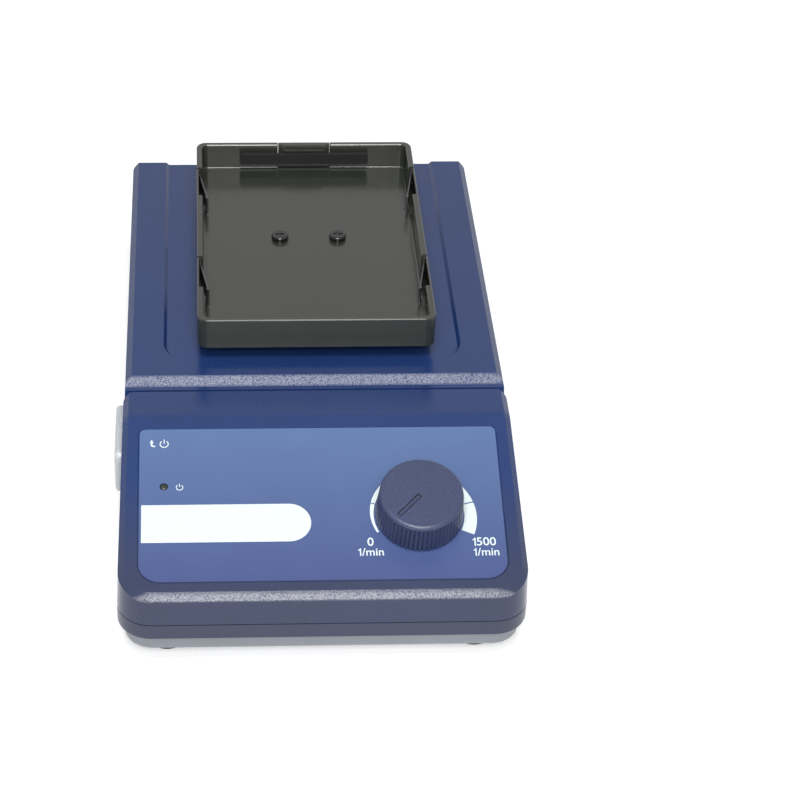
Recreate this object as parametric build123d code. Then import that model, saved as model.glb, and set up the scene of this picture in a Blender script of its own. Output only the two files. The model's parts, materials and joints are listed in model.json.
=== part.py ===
from build123d import *
import math
import os

# A compact microplate shaker: a two-tier case on four rubber feet, an orbiting plate tray on
# top, and inside it a small motor whose eccentric and four idler cranks carry the tray round.
# Millimetres. X is the operator's right, Y points to the back, Z is up, and the feet stand on
# Z = 0.

# Case: plan, heights and walls
case_width = 150.0
case_front = -128.5
case_back = 130.5
case_front_radius = 13.0
case_back_radius = 5.0
case_wall = 2.5
case_draft = 2.8
edge_bevel = 2.3
base_bottom = 8.0
skirt_bottom = 16.0
seam_height = 22.5
seam_reveal = 0.4
deck_height = 61.7
deck_front = -36.4
deck_inset = 0.5
deck_corner_radius = 1.5
deck_slope_top = -29.9
deck_slope_foot = -33.9
deck_ledge_height = 59.3
front_tier_height = 59.2
tier_gap = 0.5
tier_rear_radius = 4.5
tier_bevel = 2.1
knee_y = -52.5
knee_round = 14.0
panel_angle = 17.5

# Recess in the deck, open to the back
recess_margin = 18.0
recess_width = case_width - 2 * recess_margin
recess_front = -21.3
recess_radius = 13.0
recess_depth = 1.2
recess_roof = 2.6

# Base plate, feet and the screws that clamp the case together
plate_inset = 2.6
sheet = 1.5
base_rim_top = 18.0
foot_x = 57.0
front_foot_y = -109.5
rear_foot_y = 107.0
foot_diameter = 17.0
foot_counterbore = 4.0
case_screw_diameter = 3.0
case_screw_head = 5.6
case_screw_reach = 31.0
boss_diameter = 9.0
running_gap = 0.05
vent_count = 9
vent_length = 30.0
vent_width = 3.0
vent_pitch = 7.0

# Control panel on the slope
label_margin = 8.0
label_width = case_width - 2 * label_margin
label_start = 5.6
label_length = 67.3
label_top_radius = 2.5
label_bottom_radius = 8.0
label_recess = 0.5
label_thickness = 0.3
label_gap = 0.25
label_rim = 0.4
knob_x = 35.8
knob_along = 45.0
knob_base_diameter = 32.4
knob_top_diameter = 30.6
knob_height = 13.0
knob_lift = 0.8
knob_round = 1.4
knob_rib_stop = 1.6
knob_ribs = 60
knob_rib_depth = 0.45
knob_start = 226.5
pointer_start = 0.9
pointer_end = 12.6
pointer_width = 1.9
pointer_depth = 0.6
knob_hub_start = 4.2
knob_hub_diameter = 11.0
knob_skirt_wall = 2.2
knob_bore_depth = 9.0
led_margin = 9.3
led_x = led_margin - label_width / 2
led_along = 31.6
led_diameter = 3.0
led_bush_wall = 1.0

# Speed potentiometer
pot_diameter = 22.0
pot_depth = 9.0
pot_thread = 9.0
pot_shaft = 6.0
pot_flat = 4.6
nut_across_flats = 13.0
nut_thickness = 2.2

# Power switch in the left side
switch_y = -45.5
switch_z = 39.0
switch_length = 27.0
switch_height = 13.0
switch_flange = 2.0
switch_depth = 18.0
switch_rim = 1.8
rocker_swing = 12.0
rocker_pivot_depth = 3.2
cover_thickness = 0.7
cover_rise = 1.5

# Mains inlet with its fuse drawer in the back
inlet_x = -27.0
inlet_z = 40.0
inlet_width = 44.0
inlet_height = 20.0
inlet_depth = 18.5
inlet_tab = 4.5
inlet_lift = 1.0
inlet_face = case_back + inlet_lift
inlet_flange_reach = 2.2
socket_width = 24.4
socket_height = 16.8
socket_depth = 15.5
drawer_width = 10.0
drawer_height = 16.0
drawer_depth = 17.0
socket_x = inlet_x - 8.0
drawer_x = inlet_x + 13.5
fuse_diameter = 5.2
fuse_length = 14.0

# Control board
board_x = -14.0
board_y = -82.0
board_width = 72.0
board_length = 38.0
board_bottom = 20.0
board_thickness = 1.6
board_hole_inset = 4.0
board_screw = 3.0
terminal_x = board_x - 18.0

# Drive: one crank under the tray and four idler cranks beside it
drive_y = 54.6
orbit_radius = 2.25
rest_phase = 60.0
shaft_diameter = 6.0
pin_diameter = 8.0
idler_pin = 5.0
idler_disc = 14.0
idler_bush = 7.0
table_bush = 8.0
crank_disc = 24.0
counterweight_radius = 27.0
bearing_outer = 22.0
bearing_width = 7.0
frame_top = 41.0
frame_thickness = 3.0
frame_width = 104.0
frame_length = 78.0
frame_leg_inset = 7.0
frame_screw = 4.0
idler_inset_x = 18.0
idler_inset_y = 14.0
idler_x = frame_width / 2 - idler_inset_x
idler_y = frame_length / 2 - idler_inset_y
crank_gap = 0.6
crank_thickness = 4.0
table_gap = 1.4
table_thickness = 3.0
table_border = 10.0
table_width = 2 * (idler_x + table_border)
table_length = 2 * (idler_y + table_border)
hub_diameter = 38.0
collar_wall = 2.0
collar_rise = 2.0
splash_gap = 0.6

# Motor
core_bottom = 15.0
core_height = 14.0
core_width = 50.0
core_front = 33.5
core_back = 95.5
rotor_diameter = 28.0
air_gap = 0.3
limb_width = 9.0
coil_width = 24.0
fan_diameter = 40.0
fan_blades = 8
ear_x = 20.0
ear_y = 17.5
motor_bolt = 3.5
bridge_width = 14.0
bridge_rise = 3.8
bridge_seat = 1.8
shaft_bush = 10.0
shaft_bush_start = 0.6

# Plate tray
tray_width = 92.0
tray_length = 134.2
tray_bottom = 65.95
tray_top = 79.45
tray_wall = 2.4
tray_floor = 2.2
tray_radius = 4.0
tray_setback = 8.25
tray_screw_pitch = 23.8
tray_screw = 4.0
clip_rear_y = 94.0
clip_front_y = 26.0
clip_length = 20.0
clip_height = 7.5
clip_leaf = 0.5
clip_angle = 9.0
clamp_width = 22.0
clamp_bar_length = 55.0
clamp_bar_height = 4.8

# Places worked out from the sizes above
slope = math.radians(panel_angle)
panel = Plane(origin=(0, knee_y, front_tier_height), x_dir=(1, 0, 0),
              z_dir=(0, -math.sin(slope), math.cos(slope)))
plate_floor = base_bottom + sheet
recess_floor = deck_height - recess_depth
roof_under = recess_floor - recess_roof
phase = math.radians(rest_phase)
orbit_x = orbit_radius * math.cos(phase)
orbit_y = orbit_radius * math.sin(phase)
hub_y = drive_y + orbit_y
tray_y = hub_y - tray_setback
crank_bottom = frame_top + crank_gap
crank_top = crank_bottom + crank_thickness
table_bottom = crank_top + table_gap
table_top = table_bottom + table_thickness
core_top = core_bottom + core_height
frame_under = frame_top - frame_thickness
tray_inner_floor = tray_bottom + tray_floor
deck_opening = hub_diameter + 2 * orbit_radius + 1.0
collar_diameter = deck_opening + 2 * collar_wall
foot_places = [(sx * foot_x, y) for y in (front_foot_y, rear_foot_y) for sx in (-1, 1)]
idler_places = [(sx * idler_x, drive_y + sy * idler_y) for sy in (-1, 1) for sx in (-1, 1)]
leg_x = frame_width / 2 - frame_leg_inset
leg_y = frame_length / 2 - frame_leg_inset
frame_legs = [(sx * leg_x, drive_y + sy * leg_y) for sy in (-1, 1) for sx in (-1, 1)]
core_ears = [(sx * ear_x, drive_y + sy * ear_y) for sy in (-1, 1) for sx in (-1, 1)]


def rod(x, y, z0, z1, diameter):
    """An upright round bar between two heights."""
    return Pos(x, y, (z0 + z1) / 2) * Cylinder(diameter / 2, z1 - z0)


def tube(x, y, z0, z1, outer, inner):
    """An upright tube between two heights."""
    return rod(x, y, z0, z1, outer) - rod(x, y, z0 - 1, z1 + 1, inner)


def block(x0, x1, y0, y1, z0, z1):
    """A box from its lowest to its highest corner."""
    return Pos((x0 + x1) / 2, (y0 + y1) / 2, (z0 + z1) / 2) * Box(x1 - x0, y1 - y0, z1 - z0)


def rounded_plate(x, y, width, length, z0, z1, radius):
    """An upright plate with rounded corners."""
    return extrude(Pos(x, y, z0) * RectangleRounded(width, length, radius), z1 - z0)


def joined(parts):
    """Fuse a list of solids into one."""
    result = parts[0]
    for other in parts[1:]:
        result = result + other
    return result


def outline(inset, y0=case_front, y1=case_back, front_radius=case_front_radius,
            back_radius=case_back_radius):
    """The plan of the case, drawn in by an inset all round."""
    width = case_width - 2 * inset
    length = y1 - y0 - 2 * inset
    shape = Pos(0, (y0 + y1) / 2) * Rectangle(width, length)
    corners = shape.vertices().sort_by(Axis.Y)
    shape = fillet(corners[:2], max(front_radius - inset, 0.5))
    corners = shape.vertices().sort_by(Axis.Y)
    return fillet(corners[-2:], max(back_radius - inset, 0.5))


def ring_wall(z0, z1, outer_inset, inner_inset):
    """A wall that follows the case outline."""
    outer = extrude(Pos(0, 0, z0) * outline(outer_inset), z1 - z0)
    return outer - extrude(Pos(0, 0, z0 - 1) * outline(inner_inset), z1 - z0 + 2)


def lean(height):
    """How far a drafted wall leans in over a height."""
    return height * math.tan(math.radians(case_draft))


def deck_form(inset, top, front, overrun=0.0):
    """The rear tier, with its draft, up to a height."""
    rise = top - seam_height
    front_at_seam = front - lean(deck_height - seam_height)
    plan = outline(inset + deck_inset, front_at_seam, case_back + deck_inset + overrun,
                   deck_corner_radius, case_back_radius)
    return extrude(Pos(0, 0, seam_height) * plan, rise, taper=case_draft)


def bevelled_deck():
    """The rear tier with bevelled sides, a stepped front edge and a sharp rear edge."""
    long = deck_form(0, deck_height, deck_front, 4 * case_back_radius)
    long = chamfer(long.faces().sort_by(Axis.Z)[-1].edges(), edge_bevel)
    return (long & deck_form(0, deck_height, deck_front)) - deck_step()


def deck_step():
    """What the deck's front edge leaves open: a slope down to a narrow ledge before the groove."""
    ahead = deck_front - 5
    over = deck_height + 5
    profile = make_face(Polyline(
        (ahead, deck_ledge_height), (deck_slope_foot, deck_ledge_height), (deck_slope_top, deck_height),
        (deck_slope_top, over), (ahead, over), close=True))
    return extrude(Plane.YZ * profile, case_width, both=True)


def front_form(inset, drop, overrun=0.0):
    """The front tier, cut off by its flat strip and its slope, lowered by a wall."""
    rise = front_tier_height - drop - seam_height
    rear_at_seam = deck_front - tier_gap + lean(front_tier_height - seam_height)
    plan = outline(inset, case_front, rear_at_seam + overrun, case_front_radius, tier_rear_radius + 1)
    body = extrude(Pos(0, 0, seam_height) * plan, rise, taper=case_draft)
    above = panel * Pos(0, -60, 30 - drop) * Box(case_width + 20, 200, 60)
    return body - above


def bevelled_tier():
    """The front tier with bevelled side and front edges, a soft knee and a sharp rear edge."""
    long = front_form(0, 0, 4 * tier_rear_radius)
    long = fillet([e for e in long.edges() if is_knee(e)], knee_round)
    rim = [e for e in long.edges() if e.center().Z > seam_height + 8 and is_rim(e)]
    return chamfer(rim, tier_bevel) & front_form(0, 0)


def upper_housing():
    """The two-tier top shell: deck, sloped panel, collar, ribs and screw bosses."""
    shell = bevelled_deck() + bevelled_tier()
    shell = shell - (deck_form(case_wall, roof_under, deck_front + 3.5))
    hollow = front_form(case_wall, case_wall)
    keep = block(-case_width, case_width, case_front, deck_front - 4.0, 0, deck_height)
    shell = shell - (hollow & keep)
    passage = block(-55, 55, deck_front - 8, deck_front + 8, seam_height - 1, 46)
    inner_half = case_width / 2 - case_wall - deck_inset
    passage = passage + block(-inner_half, inner_half, deck_front - 8, deck_front + 8,
                              seam_height - 1, seam_height + 4)
    bay = block(-inner_half + 0.9, -50, switch_y - switch_length / 2 - 3, switch_y + switch_length / 2 + 3,
                switch_z - switch_height / 2 - 3, switch_z + switch_height / 2 + 3)
    shell = shell - passage - bay
    shell = shell - deck_recess()
    shell = shell + rod(0, drive_y, roof_under, recess_floor + collar_rise, collar_diameter)
    shell = shell - rod(0, drive_y, roof_under - 1, deck_height + 5, deck_opening)
    for x, y in foot_places:
        top = roof_under + 0.5 if y > 0 else panel_height(y) - case_wall
        shell = shell + tube(x, y, seam_height, top, boss_diameter, case_screw_diameter + 2 * running_gap)
        side = math.copysign(1, x)
        web = block(min(x + side * 4, side * 70), max(x + side * 4, side * 70),
                    y - 1, y + 1, seam_height + 6, top)
        shell = shell + web
    for y in (drive_y - 34, drive_y + 34):
        for side in (-1, 1):
            rib = block(min(side * 60, side * 70), max(side * 60, side * 70), y - 1, y + 1,
                        roof_under - 8, roof_under + 0.5)
            shell = shell + rib
    shell = shell - label_recess_cut() - panel_openings(led_diameter + 2 * led_bush_wall)
    shell = shell - switch_opening() - inlet_opening()
    return shell


def is_knee(edge):
    """True for the straight edge between the flat strip and the slope."""
    middle = edge.center()
    return abs(middle.Y - knee_y) < 0.5 and abs(middle.X) < 1


def is_rim(edge):
    """True for the edges along the top, not for the corner lines or the knee's borders."""
    box = edge.bounding_box()
    upright = box.size.Z > 8 and box.size.Y < 4 and box.size.X < 4
    across = box.size.X > case_width / 2 and abs(edge.center().Y - knee_y) < knee_round
    return not upright and not across


def panel_height(y):
    """Height of the sloped panel at a distance from the origin."""
    return front_tier_height - (knee_y - y) * math.tan(slope)


def deck_recess():
    """The shallow tray-shaped recess under the plate tray, with a bevelled edge."""
    length = case_back + 20 - recess_front
    plan = Pos(0, recess_front + length / 2) * Rectangle(recess_width, length)
    plan = fillet(plan.vertices().sort_by(Axis.Y)[:2], recess_radius)
    return extrude(Pos(0, 0, recess_floor) * plan, recess_depth + 1, taper=-45)


def label_outline(gap):
    """The printed label's outline, drawn in by a gap."""
    width = label_width - 2 * gap
    length = label_length - 2 * gap
    shape = Pos(0, -label_start - label_length / 2) * Rectangle(width, length)
    shape = fillet(shape.vertices().sort_by(Axis.Y)[:2], label_bottom_radius - gap)
    return fillet(shape.vertices().sort_by(Axis.Y)[-2:], label_top_radius - gap)


def label_recess_cut():
    """The bed that the label is stuck in."""
    bed = extrude(panel * Pos(0, 0, -label_recess) * label_outline(0), label_recess + 2)
    return bed + extrude(panel * Pos(0, 0, -label_rim) * label_outline(0), label_rim + 1, taper=-45)


def panel_rod(x, along, z0, z1, diameter):
    """A round bar square to the sloped panel, from its surface level."""
    return panel * Pos(x, -along, (z0 + z1) / 2) * Cylinder(diameter / 2, z1 - z0)


def panel_openings(lamp_diameter):
    """Holes for the potentiometer's thread and the lamp."""
    pot = panel_rod(knob_x, knob_along, -8, 3, pot_thread + 2 * running_gap)
    lamp = panel_rod(led_x, led_along, -8, 3, lamp_diameter + 2 * running_gap)
    return pot + lamp


def control_label():
    """The printed foil on the slope, with its two holes."""
    foil = extrude(panel * Pos(0, 0, -label_recess) * label_outline(label_gap), label_thickness)
    return foil - panel_openings(led_diameter)


def lower_housing():
    """The skirt below the seam, with a tongue into the top shell and four screw posts."""
    skirt = ring_wall(skirt_bottom, seam_height, 0, case_wall)
    tongue = ring_wall(base_rim_top + 0.5, seam_height + 2.5, case_wall + deck_inset + 0.3,
                       case_wall + deck_inset + 1.6)
    ledge = ring_wall(base_rim_top + 0.2, seam_height - 2, case_wall - 0.5, case_wall + 4.0)
    groove = ring_wall(seam_height - seam_reveal, seam_height + 1, -1, seam_reveal)
    body = skirt + tongue + ledge - groove
    for x, y in foot_places:
        side = math.copysign(1, x)
        end = 1 if y > 0 else -1
        wall_y = case_back if y > 0 else case_front
        x_pair = sorted((x, side * (case_width / 2 - case_wall)))
        y_pair = sorted((y, wall_y - end * case_wall))
        arm_x = block(x_pair[0], x_pair[1], y - 2.5, y + 2.5, base_rim_top + 0.2, seam_height - 2)
        arm_y = block(x - 2.5, x + 2.5, y_pair[0], y_pair[1], base_rim_top + 0.2, seam_height - 2)
        body = body + arm_x + arm_y + rod(x, y, plate_floor, seam_height, boss_diameter)
    for x, y in foot_places:
        body = body - rod(x, y, 0, seam_height + 5, case_screw_diameter + 2 * running_gap)
    return body


def base_plate():
    """The folded grey sheet under the case, with vent slots below the motor."""
    outer = extrude(Pos(0, 0, base_bottom) * outline(plate_inset), base_rim_top - base_bottom)
    outer = fillet(outer.faces().sort_by(Axis.Z)[0].edges(), 2.0)
    inner = extrude(Pos(0, 0, plate_floor) * outline(plate_inset + sheet), 30)
    inner = fillet(inner.faces().sort_by(Axis.Z)[0].edges(), 2.0 - sheet + 0.2)
    pan = outer - inner
    for x, y in foot_places:
        pan = pan - rod(x, y, 0, 20, case_screw_diameter + 2 * running_gap)
    for x, y in frame_legs:
        pan = pan - rod(x, y, 0, 20, frame_screw + 2 * running_gap)
    for row_y in (0.0, drive_y + 2):
        for i in range(vent_count):
            x = (i - (vent_count - 1) / 2) * vent_pitch
            slot = Pos(x, row_y, 0) * SlotOverall(vent_length, vent_width, rotation=90)
            pan = pan - extrude(slot, 20)
    return pan


def rubber_feet():
    """Four rubber feet, each with a counterbore for its screw."""
    feet = []
    for x, y in foot_places:
        body = Pos(x, y, base_bottom / 2) * Cone(foot_diameter / 2 - 0.7, foot_diameter / 2, base_bottom)
        body = fillet(body.edges().sort_by(Axis.Z)[0], 1.0)
        body = body - rod(x, y, -1, foot_counterbore, 8.0)
        body = body - rod(x, y, 0, base_bottom + 1, case_screw_diameter + 2 * running_gap)
        feet.append(body)
    return feet


def pan_head_screw(x, y, seat, tip, shank, head, head_height, up=True):
    """A pan-head screw whose head bears on a seat, pointing up or down."""
    sign = 1 if up else -1
    z = sorted((seat - sign * head_height, seat))
    cap = rod(x, y, z[0], z[1], head)
    outer_face = cap.faces().sort_by(Axis.Z)[0 if up else -1]
    cap = fillet(outer_face.edges(), head_height * 0.45)
    z_out = seat - sign * head_height
    depth = head_height * 0.45
    for turn in (0, 90):
        cross = Pos(x, y, z_out + sign * depth / 2) * Rot(0, 0, turn) * Box(head * 0.55, head * 0.13, depth)
        cap = cap - cross
    shaft = sorted((seat, tip))
    return cap + rod(x, y, shaft[0], shaft[1], shank)


def foot_screws():
    """The long screws that clamp feet, base plate, skirt and top shell."""
    return [pan_head_screw(x, y, foot_counterbore, case_screw_reach, case_screw_diameter,
                           case_screw_head, 2.0) for x, y in foot_places]


def bearing_frame():
    """The cast frame over the motor: plate, ribs, legs and the idlers' bearing bosses."""
    plate = rounded_plate(0, drive_y, frame_width, frame_length, frame_under, frame_top, 9.0)
    rib = rounded_plate(0, drive_y, frame_width, frame_length, frame_under - 4, frame_under, 9.0)
    rib = rib - rounded_plate(0, drive_y, frame_width - 5, frame_length - 5, 0, 60, 6.5)
    body = plate + rib
    for x, y in frame_legs:
        leg = Pos(x, y, (plate_floor + frame_under) / 2) * Cone(5.5, 4.5, frame_under - plate_floor)
        body = body + leg
    for x, y in idler_places:
        body = body + rod(x, y, frame_under - 4, frame_under, 12.0)
    for side in (-1, 1):
        window = rounded_plate(side * 39.0, drive_y, 16.0, 28.0, 0, 60, 5.0)
        body = body - window
    for end in (-1, 1):
        body = body - rounded_plate(0, drive_y + end * 30.5, 34.0, 11.0, 0, 60, 4.0)
    body = body - rod(0, drive_y, 0, 60, 15.0)
    for x, y in idler_places:
        body = body - rod(x, y, 0, 60, idler_bush)
    for x, y in core_ears:
        body = body - rod(x, y, 0, 60, motor_bolt + 2 * running_gap)
    for x, y in frame_legs:
        body = body - rod(x, y, 0, frame_under - 8, frame_screw + 2 * running_gap)
    return body


def frame_screws():
    """Screws from below that hold the frame's legs to the base plate."""
    return [pan_head_screw(x, y, base_bottom, 24.0, frame_screw, 7.0, 2.4) for x, y in frame_legs]


def idler_bushes():
    """Bronze bushes for the idlers' lower pins."""
    return [tube(x, y, frame_under - 4, frame_top, idler_bush, idler_pin + 2 * running_gap)
            for x, y in idler_places]


def motor_core():
    """The laminated stator: a frame with the rotor bore and a limb for the coil."""
    body = block(-core_width / 2, core_width / 2, core_front, core_back, core_bottom, core_top)
    body = fillet(body.edges().filter_by(Axis.Z), 3.0)
    bore = rotor_diameter + 2 * air_gap
    body = body - rod(0, drive_y, 0, 60, bore)
    window = block(-coil_width / 2 - 1.5, coil_width / 2 + 1.5, 74.0, core_back - limb_width,
                   core_bottom - 1, core_top + 1)
    body = body - window
    for x, y in core_ears + [(-ear_x, drive_y), (ear_x, drive_y)]:
        body = body - rod(x, y, 0, 60, motor_bolt + 2 * running_gap)
    lines = 5
    for i in range(1, lines):
        z = core_bottom + core_height * i / lines
        skin = block(-core_width, core_width, core_front - 5, core_back + 5, z - 0.15, z + 0.15)
        inner = block(-core_width / 2 + 0.3, core_width / 2 - 0.3, core_front + 0.3,
                      core_back - 0.3, z - 1, z + 1)
        body = body - (skin - inner)
    return body


def motor_coil():
    """The winding on its bobbin, round the stator's limb."""
    y0 = core_back - limb_width
    z0 = core_bottom - 4.4
    z1 = core_top + 4.0
    turns = Pos(0, (y0 + core_back) / 2, (z0 + z1) / 2) * Box(coil_width - 2, limb_width + 17, z1 - z0)
    turns = fillet(turns.edges().filter_by(Axis.X), 3.5)
    body = turns
    for side in (-1, 1):
        x = side * (coil_width / 2 - 0.5)
        cheek = Pos(x, (y0 + core_back) / 2, (z0 + z1) / 2) * Box(1.0, limb_width + 18.5, z1 - z0 + 0.8)
        body = body + fillet(cheek.edges().filter_by(Axis.X), 1.5)
    return body - block(-coil_width, coil_width, y0, core_back, core_bottom, core_top)


def motor_brackets():
    """The two bearing bridges, above and below the stator."""
    bridges = []
    for side in (-1, 1):
        face = core_top if side > 0 else core_bottom
        far = face + side * bridge_rise
        strap_in = face + side * bridge_seat
        z = sorted((strap_in, far))
        strap = rounded_plate(0, drive_y, core_width, bridge_width, z[0], z[1], 3.0)
        for sx in (-1, 1):
            zf = sorted((face, strap_in))
            strap = strap + block(min(sx * 16, sx * 24), max(sx * 16, sx * 24),
                                  drive_y - 6.5, drive_y + 6.5, zf[0], zf[1])
        zb = sorted((face + side * shaft_bush_start, far))
        strap = strap + rod(0, drive_y, zb[0], zb[1], bridge_width)
        strap = strap - rod(0, drive_y, 0, 60, shaft_bush)
        for sx in (-1, 1):
            strap = strap - rod(sx * ear_x, drive_y, 0, 60, motor_bolt + 2 * running_gap)
        bridges.append(strap)
    return bridges


def shaft_bearings():
    """Sintered bushes in the two bridges."""
    bushes = []
    for side in (-1, 1):
        face = core_top if side > 0 else core_bottom
        z = sorted((face + side * shaft_bush_start, face + side * bridge_rise))
        bushes.append(tube(0, drive_y, z[0], z[1], shaft_bush, shaft_diameter + 2 * running_gap))
    return bushes


def motor_bolts():
    """Two bolts through the bridges and four that hang the motor from the frame."""
    bolts = []
    for sx in (-1, 1):
        bolts.append(rod(sx * ear_x, drive_y, core_bottom - bridge_rise, core_top + bridge_rise, motor_bolt)
                     + rod(sx * ear_x, drive_y, core_top + bridge_rise, core_top + bridge_rise + 1.8, 6.0))
    for x, y in core_ears:
        head = extrude(Pos(x, y, core_bottom - 2.4) * RegularPolygon(3.4, 6), 2.4)
        bolts.append(head + rod(x, y, core_bottom - 1, frame_top - 0.2, motor_bolt))
    return bolts


def motor_spacers():
    """Tubes that set the motor's distance below the frame."""
    return [tube(x, y, core_top, frame_under, 7.0, motor_bolt + 2 * running_gap) for x, y in core_ears]


def motor_shaft():
    """The motor shaft, with a flat for the crank's set screw."""
    shaft = rod(0, drive_y, core_bottom - 4.6, crank_top - 0.4, shaft_diameter)
    return fillet(shaft.edges().sort_by(Axis.Z)[0], 0.4)


def motor_rotor():
    """The squirrel-cage rotor with skewed bars and end rings."""
    body = rod(0, drive_y, core_bottom + 0.4, core_top - 0.4, rotor_diameter)
    bars = 16
    for i in range(bars):
        turn = 360.0 / bars * i
        groove = Pos(0, drive_y, core_bottom + core_height / 2) * Rot(0, 0, turn) \
            * Pos(rotor_diameter / 2, 0, 0) * Rot(12, 0, 0) * Box(0.8, 0.7, core_height - 3)
        body = body - groove
    return body - rod(0, drive_y, 0, 60, shaft_diameter)


def cooling_fan():
    """A moulded fan with pitched blades on the motor shaft."""
    z0 = core_top + 4.4
    z1 = frame_under - 0.9
    hub = rod(0, drive_y, z0, z1, 13.0)
    body = hub
    for i in range(fan_blades):
        blade = Pos(0, drive_y, (z0 + z1) / 2) * Rot(0, 0, 360.0 / fan_blades * i) \
            * Pos(fan_diameter / 4 + 1.5, 0, 0) * Rot(28, 0, 0) * Box(fan_diameter / 2 - 5, 6.2, 0.9)
        body = body + blade
    slab = rod(0, drive_y, z0, z1, fan_diameter - 6.0)
    body = body & slab
    return body - rod(0, drive_y, 0, 60, shaft_diameter)


def crank_pin_place():
    """Where the crank's eccentric pin stands at rest."""
    return orbit_x, drive_y + orbit_y


def eccentric_hub():
    """The crank on the motor shaft, with its eccentric pin."""
    x, y = crank_pin_place()
    body = rod(0, drive_y, crank_bottom, crank_top, crank_disc)
    body = body - rod(0, drive_y, 0, crank_top - 0.4, shaft_diameter)
    body = body + rod(x, y, crank_top, crank_top + 0.8, pin_diameter + 3)
    pin = rod(x, y, crank_top, table_bottom + bearing_width - 0.4, pin_diameter)
    pin = chamfer(pin.edges().sort_by(Axis.Z)[-1], 0.5)
    screw = Pos(0, drive_y, (crank_bottom + crank_top) / 2) * Rot(0, 0, rest_phase) \
        * Pos(crank_disc / 2 - 2.5, 0, 0) * Rot(0, 90, 0) * Cylinder(1.1, 7)
    return body + pin - screw


def counterweight():
    """The sector that balances the tray, opposite the eccentric pin."""
    spread = 150.0
    outer = rod(0, drive_y, crank_bottom, crank_top, 2 * counterweight_radius)
    inner = rod(0, drive_y, 0, 60, crank_disc)
    half = spread / 2
    far = 2 * counterweight_radius
    points = [(0, 0)] + [(far * math.cos(math.radians(a)), far * math.sin(math.radians(a)))
                         for a in (-half, -half / 2, 0, half / 2, half)]
    wedge = extrude(make_face(Polyline(*points, close=True)), 60)
    wedge = Pos(0, drive_y, 0) * Rot(0, 0, rest_phase + 180) * wedge
    body = (outer - inner) & wedge
    for turn in (-35, 0, 35):
        hole = Pos(0, drive_y, 0) * Rot(0, 0, rest_phase + 180 + turn) * Pos(20, 0, 0) \
            * Cylinder(1.8, 150)
        body = body - hole
    return body


def idler_crank(x, y):
    """One idler: lower pin in the frame, upper pin in the table, set over by the orbit."""
    lower = rod(x, y, frame_under - 3.5, crank_bottom, idler_pin)
    disc = rod(x + orbit_x / 2, y + orbit_y / 2, crank_bottom, crank_bottom + 3.0, idler_disc)
    disc = chamfer(disc.edges(), 0.4)
    upper = rod(x + orbit_x, y + orbit_y, crank_bottom + 3.0, table_top + 0.6, idler_pin)
    return lower + disc + upper


def table_plate():
    """The orbiting table under the deck, with the hub that rises through the collar."""
    plate = rounded_plate(orbit_x, hub_y, table_width, table_length, table_bottom, table_top, 10.0)
    for side in (-1, 1):
        plate = plate - rounded_plate(orbit_x + side * 31.0, hub_y, 15.0, 26.0, 0, 80, 5.0)
        plate = plate - rounded_plate(orbit_x, hub_y + side * 27.0, 34.0, 8.0, 0, 80, 3.5)
    hub = rod(orbit_x, hub_y, table_bottom, tray_bottom, hub_diameter)
    body = plate + hub
    for x, y in idler_places:
        body = body + rod(x + orbit_x, y + orbit_y, table_top, table_top + 1.0, 12.0)
    for i in range(6):
        rib = Pos(orbit_x, hub_y, table_top + 1.5) * Rot(0, 0, 60 * i + 30) * Pos(23, 0, 0) * Box(12, 2, 3)
        body = body + rib
    body = body - rod(orbit_x, hub_y, 0, table_bottom + bearing_width, bearing_outer)
    for x, y in idler_places:
        body = body - rod(x + orbit_x, y + orbit_y, 0, 80, table_bush)
    for side in (-1, 1):
        x = orbit_x + side * tray_screw_pitch / 2
        body = body - rod(x, hub_y, tray_bottom - 9, tray_bottom + 1, tray_screw + 2 * running_gap)
    return body


def table_bearing():
    """The ball bearing that the eccentric pin turns in: two races and their balls."""
    z0 = table_bottom
    z1 = table_bottom + bearing_width
    outer = tube(orbit_x, hub_y, z0, z1, bearing_outer, 18.4)
    inner = tube(orbit_x, hub_y, z0, z1, 12.2, pin_diameter + 2 * running_gap)
    shield = tube(orbit_x, hub_y, z0 + 0.5, z1 - 0.5, 18.4, 12.2)
    return outer + shield + inner


def table_bushes():
    """Bronze bushes in the table for the idlers' upper pins."""
    return [tube(x + orbit_x, y + orbit_y, table_bottom, table_top + 1.0, table_bush,
                 idler_pin + 2 * running_gap) for x, y in idler_places]


def splash_ring():
    """The skirted ring under the tray that keeps spills out of the deck opening."""
    inner = collar_diameter + 2 * orbit_radius + 2 * splash_gap
    outer = inner + 3.0
    disc = tube(orbit_x, hub_y, tray_bottom - 1.4, tray_bottom, outer, hub_diameter + 2 * running_gap)
    skirt = tube(orbit_x, hub_y, recess_floor + 0.9, tray_bottom - 1.4, outer, inner)
    return disc + skirt


def clip_places():
    """Eye position, side and name of each side clip."""
    half = tray_width / 2 - 1.2
    return [("clip_left_front", orbit_x - half, clip_front_y, -1),
            ("clip_right_front", orbit_x + half, clip_front_y, 1),
            ("clip_left_rear", orbit_x - half, clip_rear_y, -1),
            ("clip_right_rear", orbit_x + half, clip_rear_y, 1)]


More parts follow.
